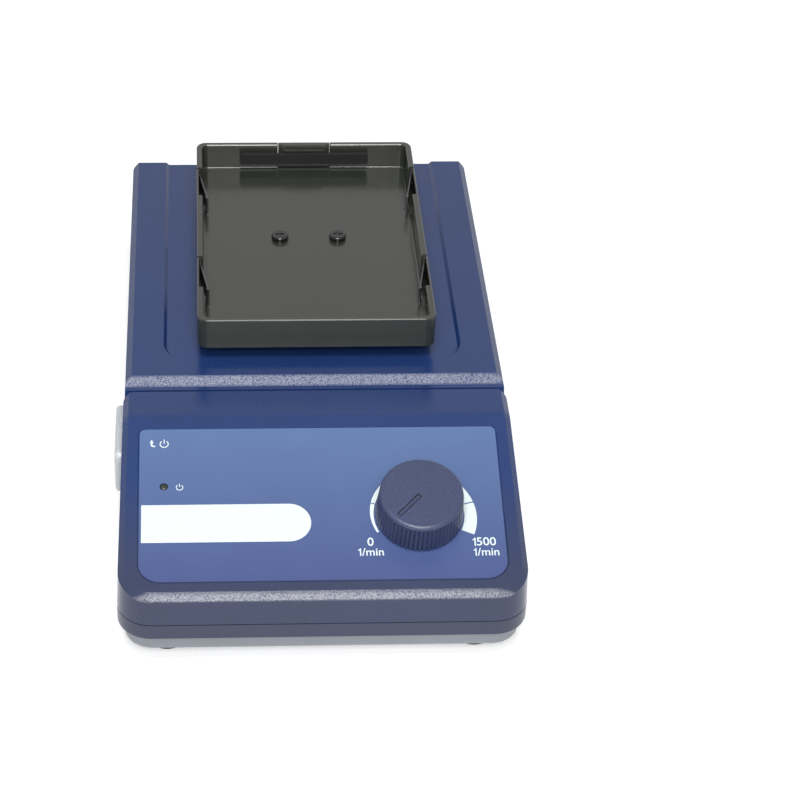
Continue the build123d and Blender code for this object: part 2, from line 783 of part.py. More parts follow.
def plate_tray():
    """The black tray that holds the plate, with pockets for its clips and clamp."""
    body = rounded_plate(orbit_x, tray_y, tray_width, tray_length, tray_bottom, tray_top, tray_radius)
    body = chamfer(body.faces().sort_by(Axis.Z)[0].edges(), 0.8)
    inner = rounded_plate(orbit_x, tray_y, tray_width - 2 * tray_wall, tray_length - 2 * tray_wall,
                          tray_inner_floor, tray_top + 5, tray_radius - tray_wall + 0.8)
    inner = fillet(inner.faces().sort_by(Axis.Z)[0].edges(), 0.8)
    body = body - inner
    rim = [e for e in body.faces().sort_by(Axis.Z)[-1].edges()]
    body = chamfer(rim, 0.35)
    for name, x, y, side in clip_places():
        inner_face = orbit_x + side * (tray_width / 2 - tray_wall)
        pocket_x = sorted((inner_face - side * 1.0, x + side * 0.45))
        pocket = block(pocket_x[0], pocket_x[1], y - clip_length - 1.5, y,
                       tray_inner_floor + 1.0, tray_top + 5)
        body = body - pocket - rod(x, y, tray_inner_floor + 1.0, tray_top + 5, 1.4 + 2 * running_gap)
        slit = sorted((x, x + side * 3.0))
        body = body - block(slit[0], slit[1], y - 0.45, y + 0.45, tray_top - 3.0, tray_top + 5)
    rear = tray_y + tray_length / 2
    half = clamp_width / 2 + 0.5
    body = body - block(orbit_x - half, orbit_x + half, rear - tray_wall - 0.3, rear + 5,
                        tray_bottom - 1, tray_top + 5)
    y, z = clamp_axis()
    pin_hole = Pos(orbit_x, y, z) * Rot(0, 90, 0) * Cylinder(0.6 + running_gap, clamp_width + 9)
    body = body - pin_hole
    for side in (-1, 1):
        x = orbit_x + side * tray_screw_pitch / 2
        body = body - rod(x, hub_y, 0, 100, tray_screw + 2 * running_gap)
    return body


def clamp_axis():
    """The rear clamp's hinge line: its Y and Z."""
    return tray_y + tray_length / 2 - tray_wall / 2, tray_bottom + 1.1


def rear_clamp():
    """The spring-loaded lever in the tray's back wall, with its thumb lip."""
    y, z = clamp_axis()
    y0 = y - 0.8
    y1 = y + 0.8
    arm = block(orbit_x - clamp_width / 2, orbit_x + clamp_width / 2, y0, y1, z, tray_top)
    barrel = Pos(orbit_x, y, z) * Rot(0, 90, 0) * Cylinder(0.95, clamp_width)
    arm = arm + barrel
    lip_width = 18.4
    lip = block(orbit_x - lip_width / 2, orbit_x + lip_width / 2, y0 - 0.9, y0, tray_top - 3.4, tray_top)
    lip = lip - block(orbit_x - lip_width / 2 + 0.8, orbit_x + lip_width / 2 - 0.8, y0 - 1.0, y0 - 0.4,
                      tray_top - 2.7, tray_top - 0.7)
    stud = block(orbit_x - 7, orbit_x + 7, bar_back(), y0, bar_middle() - 1.6, bar_middle() + 1.6)
    body = arm + lip + stud
    return body - Pos(orbit_x, y, z) * Rot(0, 90, 0) * Cylinder(0.6 + running_gap, clamp_width + 4)


def bar_back():
    """The Y of the clamp bar's back face."""
    return tray_y + tray_length / 2 - tray_wall - 1.3


def bar_middle():
    """The height of the clamp bar's middle."""
    return tray_bottom + 8.0


def clamp_bar():
    """The rubber-faced bar that presses on the plate."""
    body = block(orbit_x - clamp_bar_length / 2, orbit_x + clamp_bar_length / 2,
                 bar_back() - 1.6, bar_back(),
                 bar_middle() - clamp_bar_height / 2, bar_middle() + clamp_bar_height / 2)
    return fillet(body.edges().filter_by(Axis.Y), 1.0)


def clamp_pin():
    """The clamp's hinge pin."""
    y, z = clamp_axis()
    return Pos(orbit_x, y, z) * Rot(0, 90, 0) * Cylinder(0.6, clamp_width + 8)


def side_clip(x, y, side):
    """A sprung leaf with a rolled eye, turned in from the wall towards its tip."""
    z0 = tray_inner_floor + 1.1
    z1 = z0 + clip_height
    eye = rod(x, y, z0, z1 + 1.5, 1.4)
    leaf = block(-clip_leaf / 2, clip_leaf / 2, -clip_length, 0, z0, z1)
    nose = Pos(0, -clip_length + 1.0, (z0 + z1) / 2) * Cylinder(0.6, clip_height)
    leaf = leaf + nose
    leaf = Pos(x, y, 0) * Rot(0, 0, -side * clip_angle) * leaf
    return eye + leaf


def tray_screws():
    """The two cross-recess screws that hold the tray to the hub."""
    return [pan_head_screw(orbit_x + side * tray_screw_pitch / 2, hub_y, tray_inner_floor,
                           tray_bottom - 7.5, tray_screw, 7.0, 2.2, up=False) for side in (-1, 1)]


def speed_knob():
    """The ribbed knob: rim, flat top with its pointer slot, hollow skirt and hub."""
    at = panel * Pos(knob_x, -knob_along, knob_lift)
    low = knob_base_diameter / 2
    high = knob_top_diameter / 2
    hollow = low - knob_skirt_wall
    hub = knob_hub_diameter / 2
    profile = make_face(Polyline(
        (0, knob_hub_start), (hub, knob_hub_start), (hub, knob_bore_depth), (hollow, knob_bore_depth),
        (hollow, 0), (low, 0), (high, knob_height), (0, knob_height), close=True))
    profile = fillet(profile.vertices().sort_by(lambda v: v.X + v.Y)[-1], knob_round)
    body = revolve(Plane.XZ * profile, Axis.Z)
    groove = Rot(0, 0, 45) * Box(knob_rib_depth * 2, knob_rib_depth * 2, knob_height)
    tilt = math.degrees(math.atan((low - high) / knob_height))
    flute = Pos((low + high) / 2 + 0.25, 0, knob_height / 2 - knob_rib_stop) * Rot(0, -tilt, 0) * groove
    body = body - [Rot(0, 0, 360.0 / knob_ribs * i) * flute for i in range(knob_ribs)]
    middle = (pointer_start + pointer_end) / 2
    slot = Rot(0, 0, knob_start) * Pos(middle, 0, knob_height - pointer_depth / 2) \
        * Box(pointer_end - pointer_start, pointer_width, pointer_depth)
    bore = Pos(0, 0, knob_bore_depth / 2) * Cylinder(pot_shaft / 2, knob_bore_depth)
    bore = bore - Pos(0, pot_flat - pot_shaft / 2 + 5, 0) * Box(20, 10, 40)
    screw = Pos(0, -hub + 1.2, (knob_hub_start + knob_bore_depth) / 2) * Rot(90, 0, 0) * Cylinder(1.2, 3)
    return at * (body - slot - bore - screw)


def knob_set_screw():
    """The grub screw in the knob's hub, tight on the shaft."""
    start = knob_lift + (knob_hub_start + knob_bore_depth) / 2
    at = panel * Pos(knob_x, -knob_along, start) * Rot(90, 0, 0)
    long = knob_hub_diameter / 2 - pot_shaft / 2
    return at * Pos(0, 0, pot_shaft / 2 + long / 2) * (Cylinder(1.2, long)
                                                       - Pos(0, 0, long / 2) * Cylinder(0.6, 1.6))


def pot_spindle():
    """The potentiometer's turning shaft, with its flat."""
    top = knob_lift + knob_bore_depth
    flat_start = knob_lift + knob_hub_start - 0.2
    shaft = panel_rod(knob_x, knob_along, -case_wall - pot_depth + 1.0, top, pot_shaft - 2 * running_gap)
    flat = panel * Pos(knob_x, -knob_along + pot_flat - pot_shaft / 2 + 5, flat_start + 10) * Box(20, 10, 20)
    return shaft - flat


def pot_body():
    """The potentiometer: can, threaded bush and three solder tags."""
    under = -case_wall
    body = panel_rod(knob_x, knob_along, under - pot_depth, under, pot_diameter)
    body = body + panel_rod(knob_x, knob_along, under, 4.0, pot_thread)
    tags = panel * Pos(knob_x, -knob_along + pot_diameter / 2, under - 4.0) * Box(12, 3, 3)
    body = body + tags
    for i in (-1, 0, 1):
        body = body + panel * Pos(knob_x + i * 4, -knob_along + pot_diameter / 2 + 4.0, under - 4.0) \
            * Box(1.2, 6, 0.6)
    return body - panel_rod(knob_x, knob_along, under - pot_depth + 0.8, 10, pot_shaft)


def pot_nut():
    """The nut that holds the potentiometer to the panel."""
    floor = -label_recess + label_thickness
    nut = extrude(panel * Pos(knob_x, -knob_along, floor)
                  * RegularPolygon(nut_across_flats / 2 / math.cos(math.pi / 6), 6), nut_thickness)
    washer = panel_rod(knob_x, knob_along, floor, floor + 0.6, 15.0)
    body = nut + washer
    return body - panel_rod(knob_x, knob_along, -5, 8, pot_thread + 2 * running_gap)


def status_led():
    """The lamp: a domed lens with its flange."""
    lens = panel_rod(led_x, led_along, -6.0, -0.1, led_diameter)
    lens = fillet(lens.faces().sort_by(Axis.Z)[-1].edges(), 0.9)
    return lens + panel_rod(led_x, led_along, -7.0, -6.0, led_diameter + 0.9)


def led_holder():
    """The bush that holds the lamp in the panel."""
    outer = led_diameter + 2 * led_bush_wall
    body = panel_rod(led_x, led_along, -6.0, -label_recess, outer)
    body = body + panel_rod(led_x, led_along, -6.0, -case_wall, outer + 2.0)
    return body - panel_rod(led_x, led_along, -20, 5, led_diameter + 2 * running_gap)


def wall_x(z):
    """The half width of the case side at a height."""
    return case_width / 2 - lean(z - seam_height)


def switch_opening():
    """The cut-out for the power switch in the left side."""
    return block(-case_width / 2 - 5, -case_width / 2 + 8, switch_y - switch_length / 2,
                 switch_y + switch_length / 2, switch_z - switch_height / 2, switch_z + switch_height / 2)


def switch_face():
    """The X of the outer face of the switch's flange."""
    return -wall_x(switch_z - switch_height / 2 - switch_flange) - 0.5


def switch_body():
    """The switch's housing: a flanged box with a well for the rocker and its tabs."""
    face = switch_face()
    gap = 0.1
    half_y = switch_length / 2
    half_z = switch_height / 2
    can = block(face, face + switch_depth, switch_y - half_y + gap, switch_y + half_y - gap,
                switch_z - half_z + gap, switch_z + half_z - gap)
    edge = block(face, face + 1.6, switch_y - half_y - switch_flange, switch_y + half_y + switch_flange,
                 switch_z - half_z - switch_flange, switch_z + half_z + switch_flange)
    edge = fillet(edge.edges().filter_by(Axis.X), 1.5)
    housing = shell_beyond_wall(edge) + can
    well = block(face - 1, face + 7.5, switch_y - half_y + switch_rim, switch_y + half_y - switch_rim,
                 switch_z - half_z + switch_rim, switch_z + half_z - switch_rim)
    housing = housing - well
    for i in (-1, 0, 1):
        housing = housing + block(face + switch_depth, face + switch_depth + 8, switch_y + i * 8 - 0.4,
                                  switch_y + i * 8 + 0.4, switch_z - 3.1, switch_z + 3.1)
    return housing - rocker_pivot(running_gap, 0.1)


def rocker_pivot(gap, end_gap):
    """The rocker's pivot pin, or with gaps the hole that it turns in."""
    length = switch_height - 1.2 + 2 * end_gap
    return Pos(switch_face() + rocker_pivot_depth, switch_y, switch_z) * Cylinder(1.0 + gap, length)


def shell_beyond_wall(shape):
    """Only what stands outside the leaning side wall."""
    lean_plane = Plane(origin=(-wall_x(switch_z), switch_y, switch_z), x_dir=(0, 1, 0),
                       z_dir=(-math.cos(math.radians(case_draft)), 0, math.sin(math.radians(case_draft))))
    outside = lean_plane * Pos(0, 0, 20) * Box(80, 80, 40)
    return shape & outside


def switch_rocker():
    """The rocker, tipped to its off side, with its pivot pin."""
    half_y = switch_length / 2 - switch_rim - 0.6
    half_z = switch_height / 2 - switch_rim - 0.4
    profile = make_face(Polyline(
        (-half_y, 1.1), (0, 2.0), (half_y, 1.1), (half_y - 1.5, 5.0), (0, 6.2), (-half_y + 1.5, 5.0),
        close=True))
    body = extrude(profile, half_z, both=True)
    body = Plane(origin=(switch_face(), switch_y, switch_z), x_dir=(0, 1, 0), z_dir=(0, 0, -1)) * body
    body = body + rocker_pivot(0, 0)
    pivot = Axis((switch_face() + rocker_pivot_depth, switch_y, switch_z), (0, 0, 1))
    return body.rotate(pivot, rocker_swing / 2)


def switch_cover():
    """The clear splash cover over the rocker."""
    face = switch_face()
    half_y = switch_length / 2 + switch_flange + 1.0
    half_z = switch_height / 2 + switch_flange + 1.0
    dome = block(face - cover_rise, -wall_x(switch_z) + 3, switch_y - half_y, switch_y + half_y,
                 switch_z - half_z, switch_z + half_z)
    dome = fillet(dome.edges().filter_by(Axis.X), 3.0)
    dome = fillet(dome.faces().sort_by(Axis.X)[0].edges(), 1.6)
    dome = shell_beyond_wall(dome)
    inner = block(face - cover_rise + cover_thickness, 0, switch_y - half_y + 0.7, switch_y + half_y - 0.7,
                  switch_z - half_z + 0.7, switch_z + half_z - 0.7)
    inner = fillet(inner.edges().filter_by(Axis.X), 1.4)
    return dome - inner


def back_y(z):
    """The Y of the leaning back wall at a height."""
    return case_back - lean(z - seam_height)


def inlet_opening():
    """The cut-out for the mains inlet in the back wall."""
    half_x = inlet_width / 2 + 0.1
    half_z = inlet_height / 2 + 0.1
    return block(inlet_x - half_x, inlet_x + half_x, case_back - 8, case_back + 8, inlet_z - half_z,
                 inlet_z + half_z)


def socket_outline(width, height):
    """The appliance inlet's outline, with its two cut corners at the top."""
    shape = Rectangle(width, height)
    return chamfer(shape.vertices().sort_by(Axis.Y)[-2:], height * 0.24)


def back_plane(y):
    """A plane square to Y, seen from behind, centred on the inlet's height."""
    return Plane(origin=(0, y, inlet_z), x_dir=(-1, 0, 0), z_dir=(0, 1, 0))


def inlet_shell():
    """The inlet's moulding: flange, socket with its cut corners, and the drawer's well."""
    face = inlet_face
    flange_width = inlet_width + 2 * inlet_flange_reach
    flange_height = inlet_height + 2 * inlet_flange_reach
    flange = extrude(back_plane(face) * Pos(-inlet_x, 0) * RectangleRounded(flange_width, flange_height, 2.0),
                     -(face - case_back + 3))
    lean_plane = Plane(origin=(inlet_x, back_y(inlet_z), inlet_z), x_dir=(1, 0, 0),
                       z_dir=(0, math.cos(math.radians(case_draft)), math.sin(math.radians(case_draft))))
    flange = flange & (lean_plane * Pos(0, 0, 20) * Box(90, 90, 40))
    can = block(inlet_x - inlet_width / 2, inlet_x + inlet_width / 2, face - inlet_depth, face,
                inlet_z - inlet_height / 2, inlet_z + inlet_height / 2)
    body = flange + can
    socket = extrude(back_plane(face + 1) * Pos(-socket_x, 0) * socket_outline(socket_width, socket_height),
                     -(socket_depth + 1))
    well = block(drawer_x - drawer_width / 2 - 0.2, drawer_x + drawer_width / 2 + 0.2,
                 face - drawer_depth - 0.2, face + 1,
                 inlet_z - drawer_height / 2 - 0.2, inlet_z + drawer_height / 2 + 0.2)
    body = body - socket - well
    for x, z in blade_places():
        body = body - block(x - 1.0, x + 1.0, face - 60, face, z - 2.0, z + 2.0)
    return body


def blade_places():
    """X and Z of the three contact blades."""
    return [(socket_x - 7.0, inlet_z - 2.0), (socket_x + 7.0, inlet_z - 2.0), (socket_x, inlet_z + 2.0)]


def inlet_blades():
    """Line, neutral and earth blades, through the inlet's back."""
    blades = []
    for x, z in blade_places():
        front = inlet_face - 2.0
        blade = block(x - 1.0, x + 1.0, inlet_face - inlet_depth - inlet_tab, front, z - 2.0, z + 2.0)
        blades.append(chamfer(blade.faces().sort_by(Axis.Y)[-1].edges(), 0.5))
    return blades


def fuse_drawer():
    """The drawer beside the socket, with a finger ledge and two cradles for fuses."""
    face = inlet_face - 0.2
    body = block(drawer_x - drawer_width / 2, drawer_x + drawer_width / 2, face - drawer_depth + 0.4, face,
                 inlet_z - drawer_height / 2, inlet_z + drawer_height / 2)
    ledge = block(drawer_x - drawer_width / 2 + 2, drawer_x + drawer_width / 2 - 2, face - 1.2, face + 1,
                  inlet_z - 1.6, inlet_z + 1.6)
    body = body - ledge
    for z in fuse_heights():
        half = fuse_diameter / 2 + 0.05
        body = body - block(drawer_x - half, drawer_x + drawer_width, fuse_front() - fuse_length,
                            fuse_front(), z - half, z + half)
    return body


def fuse_heights():
    """The heights of the two fuses."""
    return [inlet_z - 4.0, inlet_z + 4.0]


def fuse_front():
    """The Y of the fuses' front ends."""
    return inlet_face - 2.6


def fuses():
    """Two glass fuses with their end caps."""
    result = []
    for z in fuse_heights():
        middle = fuse_front() - fuse_length / 2
        at = Pos(drawer_x, middle, z) * Rot(90, 0, 0)
        body = Cylinder(fuse_diameter / 2 - 0.25, fuse_length)
        for side in (-1, 1):
            body = body + Pos(0, 0, side * (fuse_length / 2 - 2.0)) * Cylinder(fuse_diameter / 2, 4.0)
        result.append(at * body)
    return result


def board_corners():
    """The control board's four fixing places."""
    half_x = board_width / 2 - board_hole_inset
    half_y = board_length / 2 - board_hole_inset
    return [(board_x + sx * half_x, board_y + sy * half_y) for sy in (-1, 1) for sx in (-1, 1)]


def control_board():
    """The speed control's circuit board."""
    board = block(board_x - board_width / 2, board_x + board_width / 2, board_y - board_length / 2,
                  board_y + board_length / 2, board_bottom, board_bottom + board_thickness)
    for x, y in board_corners():
        board = board - rod(x, y, 0, 60, board_screw + 2 * running_gap)
    return board


def board_standoffs():
    """Hexagonal pillars from the base plate to the board."""
    result = []
    for x, y in board_corners():
        pillar = extrude(Pos(x, y, plate_floor) * RegularPolygon(3.2, 6), board_bottom - plate_floor)
        result.append(pillar - rod(x, y, board_bottom - 8, board_bottom + 1, board_screw + 2 * running_gap))
    return result


def board_screws():
    """Screws that hold the board to its pillars."""
    seat = board_bottom + board_thickness
    return [pan_head_screw(x, y, seat, board_bottom - 7, board_screw, 5.6, 2.0, up=False)
            for x, y in board_corners()]


def board_capacitors():
    """The suppressor block and two electrolytic cans."""
    top = board_bottom + board_thickness
    box = block(board_x - 24, board_x - 4, board_y + 4, board_y + 13, top, top + 14)
    box = fillet(box.edges().filter_by(Axis.Z), 1.0)
    cans = []
    for i in range(2):
        can = rod(board_x + 4 + 12 * i, board_y + 9, top, top + 15, 10.0)
        neck = tube(board_x + 4 + 12 * i, board_y + 9, top + 1.2, top + 1.8, 12.0, 9.5)
        cans.append(can - neck)
    return [box] + cans


def heat_sink():
    """The finned heat sink with its power switch device."""
    top = board_bottom + board_thickness
    x0 = board_x + 14
    y0 = board_y - 12
    back = block(x0 - 13, x0 + 13, y0, y0 + 2.2, top, top + 15)
    fins = [block(x0 - 13 + 4.9 * i, x0 - 13 + 4.9 * i + 1.5, y0 - 7, y0, top, top + 15) for i in range(6)]
    device = block(x0 - 5, x0 + 5, y0 + 2.2, y0 + 6.6, top + 3, top + 13)
    return joined([back] + fins + [device])


def terminal_block():
    """The screw terminals on the board's left."""
    top = board_bottom + board_thickness
    x0 = terminal_x
    y0 = board_y - 9
    body = block(x0 - 10, x0 + 10, y0 - 4.5, y0 + 4.5, top, top + 10)
    for i in range(4):
        x = x0 - 7.5 + 5.0 * i
        body = body - rod(x, y0, top + 8, top + 12, 3.6)
        body = body - block(x - 1.7, x + 1.7, y0 - 6, y0 - 1.5, top + 1.5, top + 5.5)
    return body


def lead(points, diameter):
    """A wire held inside the case: straight runs joined by tangent arcs."""
    corners = [Vector(*p) for p in points]
    radii = []
    for i in range(1, len(corners) - 1):
        before = corners[i] - corners[i - 1]
        after = corners[i + 1] - corners[i]
        half_turn = math.radians(before.get_angle(after)) / 2
        radii.append(0.45 * min(before.length, after.length) / math.tan(half_turn))
    path = FilletPolyline(*points, radius=radii)
    start = Plane(origin=path @ 0, z_dir=path % 0)
    return sweep(start * Circle(diameter / 2), path=path)


def mains_lead():
    """The sleeved pair from the inlet to the switch, along the left side."""
    tab_x = switch_face() + switch_depth + 8
    tab_y = inlet_face - inlet_depth - inlet_tab
    start_x, start_z = blade_places()[0]
    return lead([(start_x, tab_y, start_z), (start_x, tab_y - 6, start_z), (start_x - 8, 97.5, 33),
                 (-52, 98, 30), (-60.5, 86, 28), (-61, 40, 28), (-60.5, 0, 28), (-56, -20, 32),
                 (tab_x + 7, -34, 38), (tab_x + 6, switch_y, switch_z), (tab_x, switch_y, switch_z)], 4.0)


def board_lead():
    """The sleeved pair from the switch to the board's terminals."""
    tab_x = switch_face() + switch_depth + 8
    top = board_bottom + board_thickness
    end_x = terminal_x - 7.5
    end_y = board_y - 9
    return lead([(tab_x, switch_y - 8, switch_z), (tab_x + 5, switch_y - 8, switch_z),
                 (tab_x + 6.5, switch_y - 17, 39.5), (end_x - 2.5, end_y + 14, 40),
                 (end_x, end_y, 39), (end_x, end_y, top + 10)], 3.4)


def motor_lead():
    """The sleeved pair from the board to the motor's winding."""
    top = board_bottom + board_thickness
    start_x = board_x + 27
    start_y = board_y + 11
    coil_y = (2 * core_back - limb_width) / 2 + 9.5
    return lead([(start_x, start_y, top), (start_x, start_y, top + 8), (start_x + 6, start_y + 11, top + 9),
                 (28, -46, 22), (32, -16, 18), (32, 24, 17.5), (32, 62, 17.5), (32, 88, 19),
                 (24, coil_y, 21), (coil_width / 2, coil_y, 21)], 3.4)


pieces = {
    "upper_housing": upper_housing(),
    "lower_housing": lower_housing(),
    "base_plate": base_plate(),
    "rubber_feet": rubber_feet(),
    "foot_screws": foot_screws(),
    "control_label": control_label(),
    "speed_knob": speed_knob(),
    "knob_set_screw": knob_set_screw(),
    "pot_spindle": pot_spindle(),
    "pot_body": pot_body(),
    "pot_nut": pot_nut(),
    "status_lamp": status_led(),
    "lamp_bush": led_holder(),
    "switch_body": switch_body(),
    "switch_rocker": switch_rocker(),
    "switch_cover": switch_cover(),
    "inlet_shell": inlet_shell(),
    "inlet_blades": inlet_blades(),
    "fuse_drawer": fuse_drawer(),
    "fuses": fuses(),
    "control_board": control_board(),
    "board_standoffs": board_standoffs(),
    "board_screws": board_screws(),
    "board_capacitors": board_capacitors(),
    "heat_sink": heat_sink(),
    "terminal_block": terminal_block(),
    "mains_lead": mains_lead(),
    "board_lead": board_lead(),
    "motor_lead": motor_lead(),
    "bearing_frame": bearing_frame(),
    "frame_screws": frame_screws(),
    "idler_bushes": idler_bushes(),
    "motor_core": motor_core(),
    "motor_coil": motor_coil(),
    "motor_brackets": motor_brackets(),
    "shaft_bearings": shaft_bearings(),
    "motor_bolts": motor_bolts(),
    "motor_spacers": motor_spacers(),
    "motor_shaft": motor_shaft(),
    "motor_rotor": motor_rotor(),
    "cooling_fan": cooling_fan(),
    "eccentric_hub": eccentric_hub(),
    "counterweight": counterweight(),
    "table_plate": table_plate(),
    "table_bearing": table_bearing(),
    "table_bushes": table_bushes(),
    "splash_ring": splash_ring(),
    "plate_tray": plate_tray(),
    "tray_screws": tray_screws(),
    "rear_clamp": rear_clamp(),
    "clamp_bar": clamp_bar(),
    "clamp_pin": clamp_pin(),
}
for number, (x, y) in enumerate(idler_places, start=1):
    pieces[f"idler_{number}"] = idler_crank(x, y)
for name, x, y, side in clip_places():
    pieces[name] = side_clip(x, y, side)

os.makedirs("parts", exist_ok=True)
for name, shape in pieces.items():
    solid = Compound(children=shape) if isinstance(shape, list) else shape
    export_step(solid, f"parts/{name}.step")
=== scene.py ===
"""Looks of a compact microplate shaker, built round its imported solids.

Lengths are metres in the solids' own frame: X is the operator's right, Y points to the back and Z is up.
"""

import json
import logging
import math
from dataclasses import dataclass, field
from enum import Enum

import bmesh
import bpy
import numpy as np
from mathutils import Matrix, Quaternion, Vector

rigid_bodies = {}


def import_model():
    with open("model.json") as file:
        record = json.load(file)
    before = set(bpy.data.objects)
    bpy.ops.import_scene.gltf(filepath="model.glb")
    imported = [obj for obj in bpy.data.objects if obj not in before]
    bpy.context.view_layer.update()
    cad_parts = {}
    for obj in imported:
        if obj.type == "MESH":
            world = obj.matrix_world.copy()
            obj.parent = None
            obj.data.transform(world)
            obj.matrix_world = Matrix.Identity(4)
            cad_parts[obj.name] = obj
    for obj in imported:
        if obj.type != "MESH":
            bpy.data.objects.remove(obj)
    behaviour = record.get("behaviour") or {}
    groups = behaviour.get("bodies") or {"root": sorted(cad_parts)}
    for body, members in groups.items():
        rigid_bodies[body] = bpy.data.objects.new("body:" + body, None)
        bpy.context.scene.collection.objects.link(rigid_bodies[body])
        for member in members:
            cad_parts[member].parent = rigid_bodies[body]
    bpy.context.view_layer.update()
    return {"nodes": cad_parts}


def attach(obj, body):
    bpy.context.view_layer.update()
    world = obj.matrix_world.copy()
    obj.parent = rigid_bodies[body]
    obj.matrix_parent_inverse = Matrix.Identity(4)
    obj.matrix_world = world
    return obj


LOG = logging.getLogger("shaker")
MM = 0.001
Colour = tuple[float, float, float]
Point = tuple[float, float, float]


# ---------------------------------------------------------------- meshes


def grid_faces(rows: int, columns: int, wrap_rows: bool, wrap_columns: bool) -> np.ndarray:
    """Quads of a grid of points stored row after row.

    Args:
        rows: Number of rows of points.
        columns: Points in each row.
        wrap_rows: Whether the last row joins the first.
        wrap_columns: Whether a row's last point joins its first.

    Returns:
        One quad's four point numbers in each line.
    """
    i = np.arange(rows if wrap_rows else rows - 1)
    j = np.arange(columns if wrap_columns else columns - 1)
    a, b = np.meshgrid(i, j, indexing="ij")
    a2, b2 = (a + 1) % rows, (b + 1) % columns
    quads = np.stack([a * columns + b, a * columns + b2, a2 * columns + b2, a2 * columns + b], axis=-1)
    return quads.reshape(-1, 4)


def mesh_object(
    name: str, points: np.ndarray, faces: np.ndarray | list, smooth: bool = True
) -> bpy.types.Object:
    """Put points and faces into a new object at the origin.

    Args:
        name: The piece's name.
        points: Points as an array whose last axis is x, y, z.
        faces: Faces as lists of point numbers.
        smooth: Whether the faces are shaded smooth.

    Returns:
        The new object, linked to the scene.
    """
    mesh = bpy.data.meshes.new(name)
    rows = faces.tolist() if isinstance(faces, np.ndarray) else faces
    mesh.from_pydata(np.asarray(points, float).reshape(-1, 3).tolist(), [], rows)
    mesh.polygons.foreach_set("use_smooth", np.full(len(mesh.polygons), smooth))
    mesh.update()
    thing = bpy.data.objects.new(name, mesh)
    bpy.context.scene.collection.objects.link(thing)
    return thing


def plate_from_outline(name: str, outline: np.ndarray, thickness: np.ndarray) -> bpy.types.Object:
    """A closed flat plate: its outline, and the same outline moved by its thickness.

    Args:
        name: The piece's name.
        outline: The lower face's points, in order round the edge.
        thickness: The vector from the lower face to the upper one.

    Returns:
        The new object.
    """
    n = len(outline)
    points = np.concatenate([outline, outline + thickness])
    sides = grid_faces(2, n, False, True).tolist()
    lower = list(range(n))[::-1]
    upper = list(range(n, 2 * n))
    return mesh_object(name, points, [lower, upper] + sides, smooth=False)


def band_plate(name: str, inner: np.ndarray, outer: np.ndarray, thickness: np.ndarray) -> bpy.types.Object:
    """A closed flat band between two lines with as many points each.

    Args:
        name: The piece's name.
        inner: Points along one side.
        outer: Points along the other side.
        thickness: The vector from the lower face to the upper one.

    Returns:
        The new object.
    """
    section = np.stack([inner, outer, outer + thickness, inner + thickness], axis=1)
    n = len(inner)
    faces = grid_faces(n, 4, False, True).tolist()
    faces += [[0, 1, 2, 3], [4 * n - 1, 4 * n - 2, 4 * n - 3, 4 * n - 4]]
    thing = mesh_object(name, section, faces, smooth=False)
    tidy_normals(thing)
    return thing


def tidy_normals(thing: bpy.types.Object) -> None:
    """Turn a closed mesh's faces outwards.

    Args:
        thing: The object whose mesh is changed.
    """
    work = bmesh.new()
    work.from_mesh(thing.data)
    bmesh.ops.recalc_face_normals(work, faces=work.faces)
    work.to_mesh(thing.data)
    work.free()


# ---------------------------------------------------------------- shader groups

PIP_SPAN = (0.1, 0.75)
PIP_SHARE, PIP_FINE = 0.6, 0.5
PIP_FLECKS = (0.72, 0.92)
PIP_TIPS = (0.22, 0.86)
SHADE_SPAN = (0.3, 0.7)
SMEAR_SPAN = (0.52, 0.75)
LINE_STRETCH = (0.06, 1.0, 1.0)
LINE_FLECKS = (0.6, 0.8)
LAYER_SHARE, LAYER_FINE, LAYER_LEVEL = 0.4, 0.3, 0.3
LAYER_FLECKS = (0.2, 1.0)
LAYER_NOISE = 1500.0
GLOSS_SPAN = (0.2, 1.4)


def new_group(name: str, inputs: dict[str, float | None], outputs: list[str]) -> tuple:
    """Start a shader group with a vector input, numbers and number outputs.

    Args:
        name: The group's name.
        inputs: Name and default of each number; None makes it a vector.
        outputs: Names of the numbers that come out.

    Returns:
        The group, its input node and its output node.
    """
    tree = bpy.data.node_groups.new(name, "ShaderNodeTree")
    for key, value in inputs.items():
        kind = "NodeSocketVector" if value is None else "NodeSocketFloat"
        socket = tree.interface.new_socket(key, in_out="INPUT", socket_type=kind)
        if value is not None:
            socket.default_value = value
    for key in outputs:
        tree.interface.new_socket(key, in_out="OUTPUT", socket_type="NodeSocketFloat")
    return tree, tree.nodes.new("NodeGroupInput"), tree.nodes.new("NodeGroupOutput")


def maths(tree: bpy.types.NodeTree, kind: str, a: object, b: object = None, c: object = None) -> object:
    """Add a Math node.

    Args:
        tree: The tree it goes into.
        kind: The operation.
        a: First number or socket.
        b: Second number or socket.
        c: Third number or socket.

    Returns:
        The node's output socket.
    """
    node = tree.nodes.new("ShaderNodeMath")
    node.operation = kind
    for socket, value in zip(node.inputs, (a, b, c)):
        if value is None:
            continue
        if isinstance(value, (int, float)):
            socket.default_value = value
        else:
            tree.links.new(value, socket)
    return node.outputs[0]


def noise(
    tree: bpy.types.NodeTree, vector: object, scale: object, detail: float, rough: float = 0.5
) -> object:
    """Add a Noise texture.

    Args:
        tree: The tree it goes into.
        vector: The socket with its coordinates.
        scale: Its scale, a number or a socket.
        detail: How many finer layers it has.
        rough: How strong the finer layers are.

    Returns:
        The socket with its value.
    """
    node = tree.nodes.new("ShaderNodeTexNoise")
    node.inputs["Detail"].default_value = detail
    node.inputs["Roughness"].default_value = rough
    tree.links.new(vector, node.inputs["Vector"])
    if isinstance(scale, (int, float)):
        node.inputs["Scale"].default_value = scale
    else:
        tree.links.new(scale, node.inputs["Scale"])
    return node.outputs[0]


